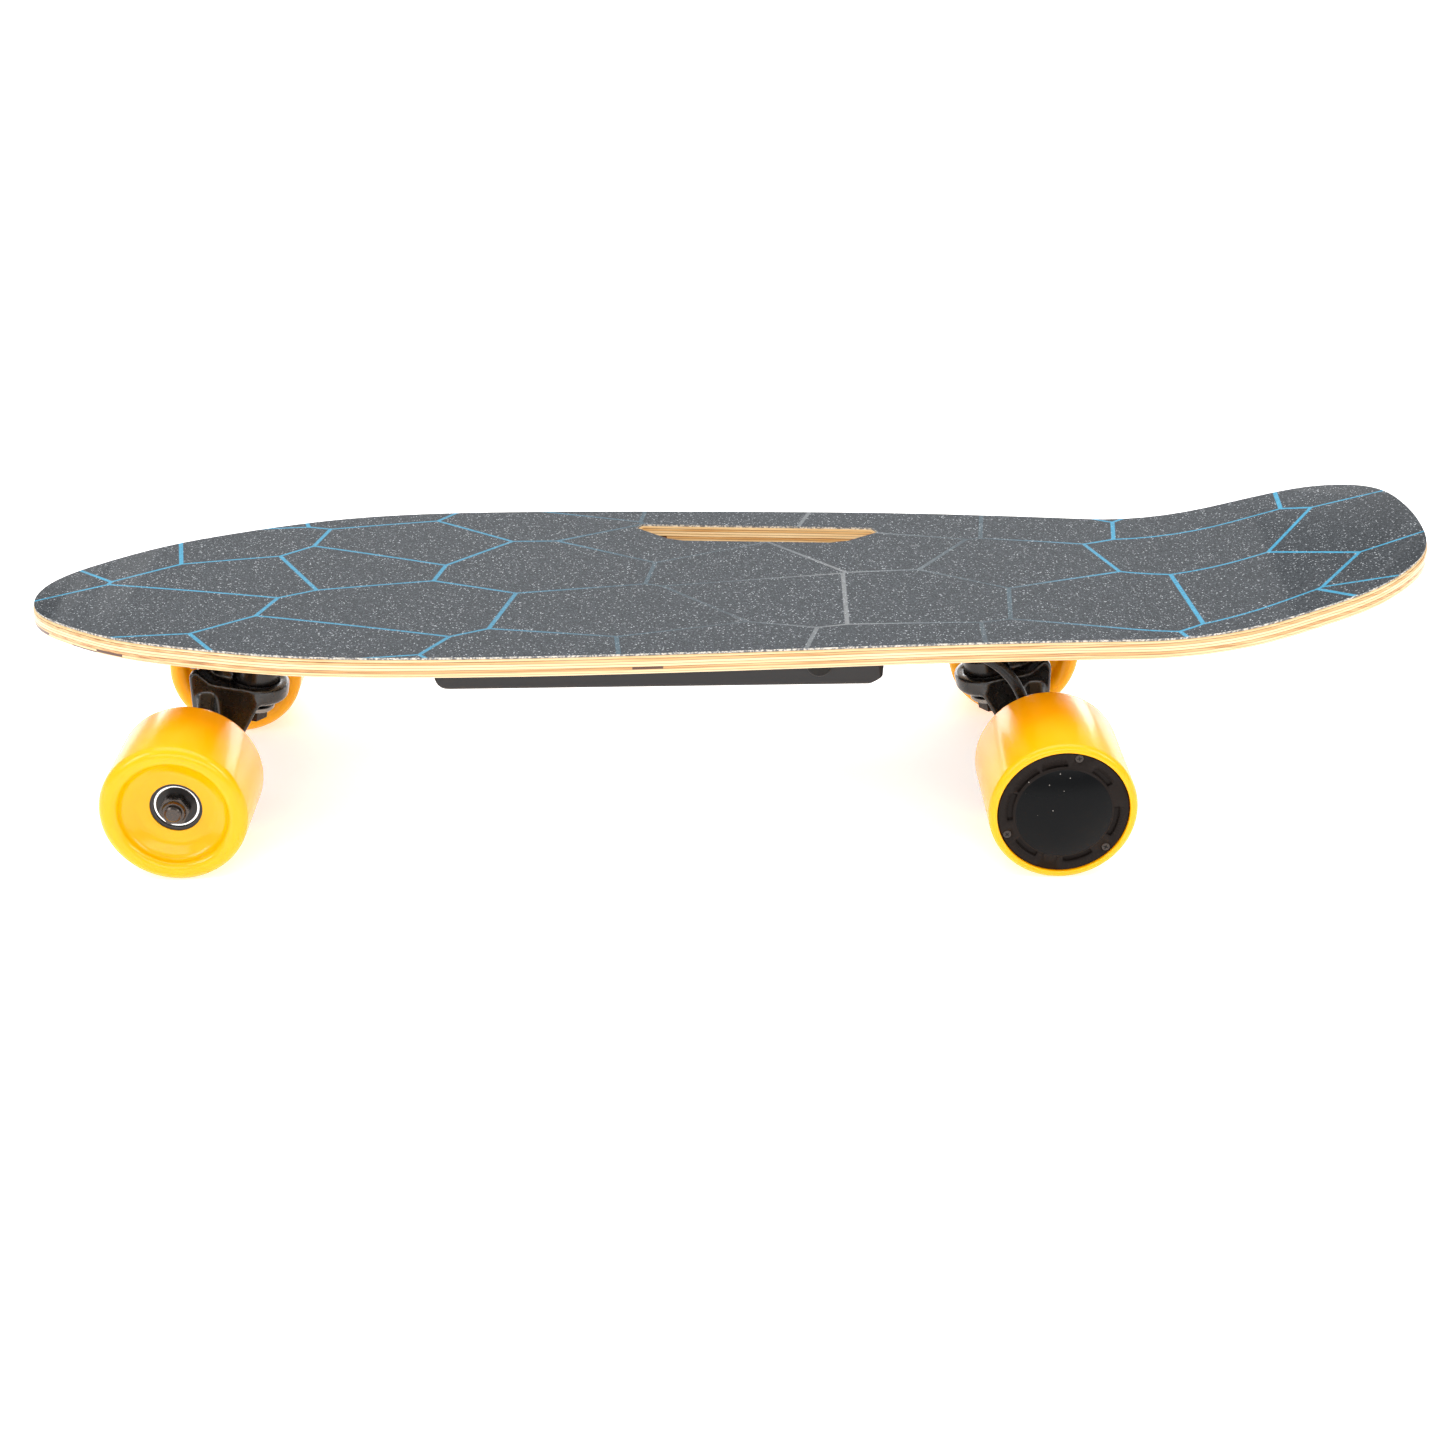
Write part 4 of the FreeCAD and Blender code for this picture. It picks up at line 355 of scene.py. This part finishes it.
def smooth_line(name, route, radius):
    """A NURBS curve whose control points are the route's; with a radius of 0 it has no thickness."""
    data = bpy.data.curves.new(name, "CURVE")
    data.dimensions = "3D"
    spline = data.splines.new("NURBS")
    spline.points.add(len(route) - 1)
    for point, place in zip(spline.points, route):
        point.co = (*place, 1)
    spline.order_u = 3
    spline.use_endpoint_u = True
    data.resolution_u = 16
    data.bevel_depth = radius
    data.bevel_resolution = 6
    data.use_fill_caps = True
    line = bpy.data.objects.new(name, data)
    scene.collection.objects.link(line)
    bpy.context.view_layer.update()
    made = bpy.data.meshes.new_from_object(line.evaluated_get(bpy.context.evaluated_depsgraph_get()))
    bpy.data.objects.remove(line)
    return made


sheath, tree, shader = finish_of("extruded rubber cable sheath", "#0B0A0A", 0.28, Specular_IOR_Level=0.35)
surface(tree, shader, 0.8, 0.02, 0.05)
cable_line = [tuple(vertex.co) for vertex in smooth_line("cable_line", CABLE_ROUTE, 0).vertices]
motor_cable = shown("motor_cable_lead", smooth_line("motor_cable_lead", CABLE_ROUTE, 0.00275), None, sheath,
                    ("motor_cable",), 60)
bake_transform(motor_cable)

# Truck castings: hangers and baseplates, gravity cast in aluminium, tumbled smooth and powder coated satin black.
# The castings' edges are soft, so each is drawn from its machined form with the corners melted away.


def cast(name, node, body, material, voxel_mm, rounds):
    """A softened copy of a CAD node: a fine skin over it, relaxed a few times, as a casting's edges are."""
    rough_cast = bpy.data.objects.new(name + "_rough", merged(name + "_rough", node))
    scene.collection.objects.link(rough_cast)
    skin = rough_cast.modifiers.new("skin", "REMESH")
    skin.mode = "VOXEL"
    skin.voxel_size = voxel_mm / 1000
    relax = rough_cast.modifiers.new("relax", "SMOOTH")
    relax.factor = 0.5
    relax.iterations = rounds
    bpy.context.view_layer.update()
    mesh = bpy.data.meshes.new_from_object(rough_cast.evaluated_get(bpy.context.evaluated_depsgraph_get()))
    bpy.data.objects.remove(rough_cast)
    mesh.shade_smooth()
    return shown(name, mesh, body, material, (node,), 0)


powder_coat, tree, shader = finish_of("satin black powder coat", "#0D0B0A", 0.27, Specular_IOR_Level=0.55,
                                      Coat_Weight=0.25, Coat_Roughness=0.15)
surface(tree, shader, 2.2, 0.05, 0.04)
for side in ("front", "rear"):
    for part, body, rounds in (("hanger", side + "_truck", 6), ("baseplate", "board", 3)):
        node = "%s_%s" % (side, part)
        cast(node + "_casting", node, body, powder_coat, 0.9, rounds)

# Truck fittings: pivot cups and bushings poured in black urethane, zinc-plated kingpins with cup washers and nuts.
poured_black, tree, shader = finish_of("poured black urethane", "#100D0C", 0.25, Specular_IOR_Level=0.5)
surface(tree, shader, 2.0, 0.02)
dress(poured_black, *[side + part for side in ("front", "rear")
                      for part in ("_pivot_cup", "_top_bushing", "_bottom_bushing")])
zinc, tree, shader = finish_of("zinc-plated steel", "#8C8884", 0.32, 1.0)
surface(tree, shader, 0.6, 0.015, 0.08)
dress(zinc, "kingpins", "kingpin_washers", "front_axle_washers", "rear_axle_washers", "motor_shaft")
dress(black_oxide, "kingpin_nuts")

# Axles and their lock nuts: ground steel, blackened. The nuts' locking collars are given the same finish.
nut_steel, tree, shader = finish_of("blackened nut steel", "#504A46", 0.26, 1.0)
surface(tree, shader, 0.5, 0.015, 0.06)
dress(nut_steel, "front_axle", "rear_axle", "front_axle_nuts", "rear_axle_nut")

# Plain wheels: urethane poured round a nylon core and turned true, so the tread and the lips are glossy. Each turns
# on two shielded ball bearings with a spacer between them.
urethane, tree, shader = finish_of("poured yellow urethane", "#FFAE00", 0.2, Subsurface_Weight=0.3,
                                   Specular_IOR_Level=0.28, Coat_Weight=0.12, Coat_Roughness=0.06)
shader.inputs["Subsurface Radius"].default_value = (0.02, 0.01, 0.001)
shader.inputs["Subsurface Scale"].default_value = 0.3
surface(tree, shader, 9.0, 0.03)
dress(nylon, *[wheel + "_core" for wheel in ("front_left", "front_right", "rear_right")])
dress(zinc, *[wheel + "_spacer" for wheel in ("front_left", "front_right", "rear_right")])


def round_corners(points, radii, steps=6):
    """A closed half section with some corners turned into arcs; a radius of 0 leaves the corner sharp."""
    softened = []
    count = len(points)
    for i, point in enumerate(points):
        here = Vector(point)
        radius = radii.get(i, 0)
        if not radius:
            softened.append(here)
            continue
        before = (Vector(points[i - 1]) - here).normalized()
        after = (Vector(points[(i + 1) % count]) - here).normalized()
        half = before.angle(after) / 2
        reach = radius / math.tan(half)
        centre = here + (before + after).normalized() * (radius / math.sin(half))
        start = here + before * reach - centre
        end = here + after * reach - centre
        for step in range(steps + 1):
            softened.append(centre + start.lerp(end, step / steps).normalized() * radius)
    return softened


def spun(name, section, hub, hand, segments=96):
    """A mesh turned about a wheel's axle from a closed half section of (radius, outward) in millimetres."""
    form = bmesh.new()
    ring = [form.verts.new((0, p[1] / 1000 * hand, p[0] / 1000)) for p in section]
    for a, b in zip(ring, ring[1:] + ring[:1]):
        form.edges.new((a, b))
    bmesh.ops.spin(form, geom=list(form.verts) + list(form.edges), cent=(0, 0, 0), axis=(0, 1, 0),
                   angle=2 * math.pi, steps=segments, use_merge=True)
    bmesh.ops.remove_doubles(form, verts=form.verts, dist=1e-6)
    bmesh.ops.recalc_face_normals(form, faces=form.faces)
    bmesh.ops.translate(form, verts=form.verts, vec=hub)
    mesh = bpy.data.meshes.new(name)
    form.to_mesh(mesh)
    form.free()
    return mesh


FRONT_AXLE_X, REAR_AXLE_X, AXLE_HEIGHT = -0.2605, 0.1575, 0.035
BEARING_WIDTH = 7
race_steel, tree, shader = finish_of("ground bearing steel", "#F2F2F2", 0.16, 1.0)
surface(tree, shader, 0.3, 0.004, 0.05)
shield, tree, shader = finish_of("black rubber bearing shield", "#131110", 0.45)
surface(tree, shader, 0.6, 0.02)
# the tyre's half section as (radius, outward) in millimetres; the bowl opens outwards
TYRE = round_corners(
    [(13.6, -9.8), (20, -12.9), (25.5, -18), (26.6, -25.5), (35, -25.5), (35, 25.5), (26.6, 25.5), (25.2, 20.5),
     (19, 16.9), (12.5, 16.1), (12.5, 15.45), (13.6, 15.45)],
    {1: 6, 2: 3, 3: 4.2, 4: 4.9, 5: 4.9, 6: 4.2, 7: 5.5, 8: 9})
WHEELS = (("front_left", FRONT_AXLE_X, -0.0809, -1), ("front_right", FRONT_AXLE_X, 0.0809, 1),
          ("rear_right", REAR_AXLE_X, 0.0895, 1))
for wheel, x, y, hand in WHEELS:
    body = wheel + "_wheel"
    hub = (x, y, AXLE_HEIGHT)
    shown(wheel + "_urethane_tyre", spun(wheel + "_urethane_tyre", TYRE, hub, hand), body, urethane,
          (wheel + "_tyre",))
    for number, low in enumerate((-9.5, 7.5)):
        high = low + BEARING_WIDTH
        races = round_corners([(9.6, low), (11, low), (11, high), (9.6, high)], {0: 0.3, 1: 0.3, 2: 0.3, 3: 0.3}, 3)
        name = "%s_race%d" % (wheel, number)
        shown(name, spun(name, races, hub, hand, 64), body, race_steel,
              (wheel + "_bearings",) if number else ())
        inner = round_corners([(4, low), (6, low), (6, high), (4, high)], {1: 0.3, 2: 0.3}, 3)
        name = "%s_inner_race%d" % (wheel, number)
        shown(name, spun(name, inner, hub, hand, 48), body, zinc)
        cover_ring = [(6.05, low + 0.5), (9.55, low + 0.5), (9.55, high - 0.4), (8.6, high - 0.55),
                      (7.0, high - 0.55), (6.05, high - 0.4)]
        name = "%s_shield%d" % (wheel, number)
        shown(name, spun(name, cover_ring, hub, hand, 64), body, shield)

# Motor wheel: a thin yellow tyre moulded on a steel can. The can, its magnets, end cap and bearings turn round a
# stator of steel laminations with enamelled copper windings on the fixed shaft.
MOTOR_HUB = (REAR_AXLE_X, -0.0535, AXLE_HEIGHT)
MOTOR_TYRE = round_corners([(29.3, 0), (35, 0), (35, 61.5), (31.15, 61.5), (31.15, 57.5), (29.3, 57.5)],
                           {1: 3, 2: 3.2, 3: 0.6})
shown("motor_urethane_tyre", spun("motor_urethane_tyre", MOTOR_TYRE, MOTOR_HUB, -1, 128), "motor_wheel", urethane,
      ("motor_tyre",))
dress(black_oxide, "motor_rotor")
nickel, tree, shader = finish_of("nickel-plated magnet", "#C9C6BE", 0.22, 1.0)
surface(tree, shader, 1.0, 0.01, 0.05)
dress(nickel, "motor_magnets", "motor_bearings")
anodised, tree, shader = finish_of("black anodised aluminium", "#17171A", 0.38, 0.6)
surface(tree, shader, 0.4, 0.015, 0.06)
dress(anodised, "motor_inner_cap")
steel_sheet, tree, shader = finish_of("stacked silicon steel sheet", "#6E6F72", 0.45, 1.0)
here = put(tree, "ShaderNodeTexCoord")
# sheets 0.5 mm thick, stacked along the shaft and drawn twice as coarse
sheets = put(tree, "ShaderNodeTexWave", {"Vector": here.outputs["Object"], "Scale": 2000.0 / 6.283},
             bands_direction="Y")
stacked = put(tree, "ShaderNodeBump", {"Height": sheets.outputs["Fac"], "Strength": 0.5, "Distance": 0.0001})
tree.links.new(stacked.outputs["Normal"], shader.inputs["Normal"])
dress(steel_sheet, "motor_stator")
copper, tree, shader = finish_of("enamelled copper wire", "#B4552A", 0.25, 0.9, Coat_Weight=0.4)
here = put(tree, "ShaderNodeTexCoord")
# wire 0.6 mm thick, wound across the teeth and drawn twice as coarse
turns = put(tree, "ShaderNodeTexWave", {"Vector": here.outputs["Object"], "Scale": 1667.0 / 6.283},
            bands_direction="X")
wound = put(tree, "ShaderNodeBump", {"Height": turns.outputs["Fac"], "Strength": 0.7, "Distance": 0.0003})
tree.links.new(wound.outputs["Normal"], shader.inputs["Normal"])
dress(copper, "motor_windings")

# Motor cover: glass-filled nylon, moulded with shallow windows and a smooth, glossier disc in the middle, held by
# three small cross-head screws in round wells. A little dust lies on it.
cover_nylon, tree, shader = finish_of("moulded glass-filled nylon", "#1A1614", 0.42, Specular_IOR_Level=0.10)
here = put(tree, "ShaderNodeTexCoord")
from_hub = put(tree, "ShaderNodeMapping", {"Vector": here.outputs["Object"], "Scale": (1, 0, 1),
                                           "Location": (-REAR_AXLE_X, 0, -AXLE_HEIGHT)})
radius = put(tree, "ShaderNodeVectorMath", {0: from_hub.outputs[0]}, operation="LENGTH")
on_disc = put(tree, "ShaderNodeMapRange", {"Value": radius.outputs["Value"], "From Min": 0.0229, "From Max": 0.0225})
gloss = put(tree, "ShaderNodeMapRange", {"Value": on_disc.outputs[0], "To Min": 0.44, "To Max": 0.26})
tree.links.new(gloss.outputs[0], shader.inputs["Roughness"])
dust = put(tree, "ShaderNodeTexVoronoi", {"Vector": here.outputs["Object"], "Scale": 420.0, "Randomness": 1.0})
lots = put(tree, "ShaderNodeSeparateColor", {"Color": dust.outputs["Color"]})
rare = put(tree, "ShaderNodeMath", {0: lots.outputs["Red"], 1: 0.93}, operation="GREATER_THAN")
small = put(tree, "ShaderNodeMath", {0: dust.outputs["Distance"], 1: 0.11}, operation="LESS_THAN")
speck = put(tree, "ShaderNodeMath", {0: rare.outputs[0], 1: small.outputs[0]}, operation="MULTIPLY")
base = put(tree, "ShaderNodeMix", {0: on_disc.outputs[0], 6: linear("#1C1613"), 7: linear("#08090A")},
           data_type="RGBA")
dusted = put(tree, "ShaderNodeMix", {0: speck.outputs[0], 6: base.outputs[2], 7: linear("#9A948C")},
             data_type="RGBA")
tree.links.new(dusted.outputs[2], shader.inputs["Base Color"])
pores = put(tree, "ShaderNodeTexNoise", {"Vector": here.outputs["Object"], "Scale": 900.0, "Detail": 2.0})
moulded = put(tree, "ShaderNodeBump", {"Height": pores.outputs["Fac"], "Strength": 0.3, "Distance": 0.00004})
tree.links.new(moulded.outputs["Normal"], shader.inputs["Normal"])
shown("motor_cover_moulding", merged("motor_cover_moulding", "motor_cover"), "motor_wheel", cover_nylon,
      ("motor_cover",), 25)

# painted shade: a near-black finish for the screws' cross recesses, which are dark only from the shade in them
recess, tree, shader = finish_of("shaded screw recess", "#070606", 0.6, 0.4)
surface(tree, shader, 0.3, 0.01)
screw_steel, tree, shader = finish_of("blackened screw steel", "#46413E", 0.33, 1.0)
surface(tree, shader, 0.4, 0.01, 0.06)
dress(screw_steel, "motor_cover_screws")
# each cross is two thin plates whose faces stand 0.07 mm proud of a screw's head, on the circle of the wells; their
# near-black finish is painted shade, standing for the shade inside the cross recesses
WELL_CIRCLE, CROSS_OUT = 0.0283, 0.06022
crosses = bmesh.new()
for turn in (78, 204, 318):
    for tilt in (turn + 20, turn + 110):
        arm = bmesh.ops.create_cube(crosses, size=1.0)["verts"]
        bmesh.ops.scale(crosses, verts=arm, vec=(0.0024, 0.0001, 0.00055))
        bmesh.ops.rotate(crosses, verts=arm, cent=(0, 0, 0), matrix=Matrix.Rotation(math.radians(-tilt), 3, "Y"))
        bmesh.ops.translate(crosses, verts=arm, vec=(
            REAR_AXLE_X + WELL_CIRCLE * math.cos(math.radians(turn)), MOTOR_HUB[1] - CROSS_OUT,
            AXLE_HEIGHT + WELL_CIRCLE * math.sin(math.radians(turn))))
cross_mesh = bpy.data.meshes.new("cover_screw_cross_shade")
crosses.to_mesh(cross_mesh)
crosses.free()
shown("cover_screw_cross_shade", cross_mesh, "motor_wheel", recess, (), 0)
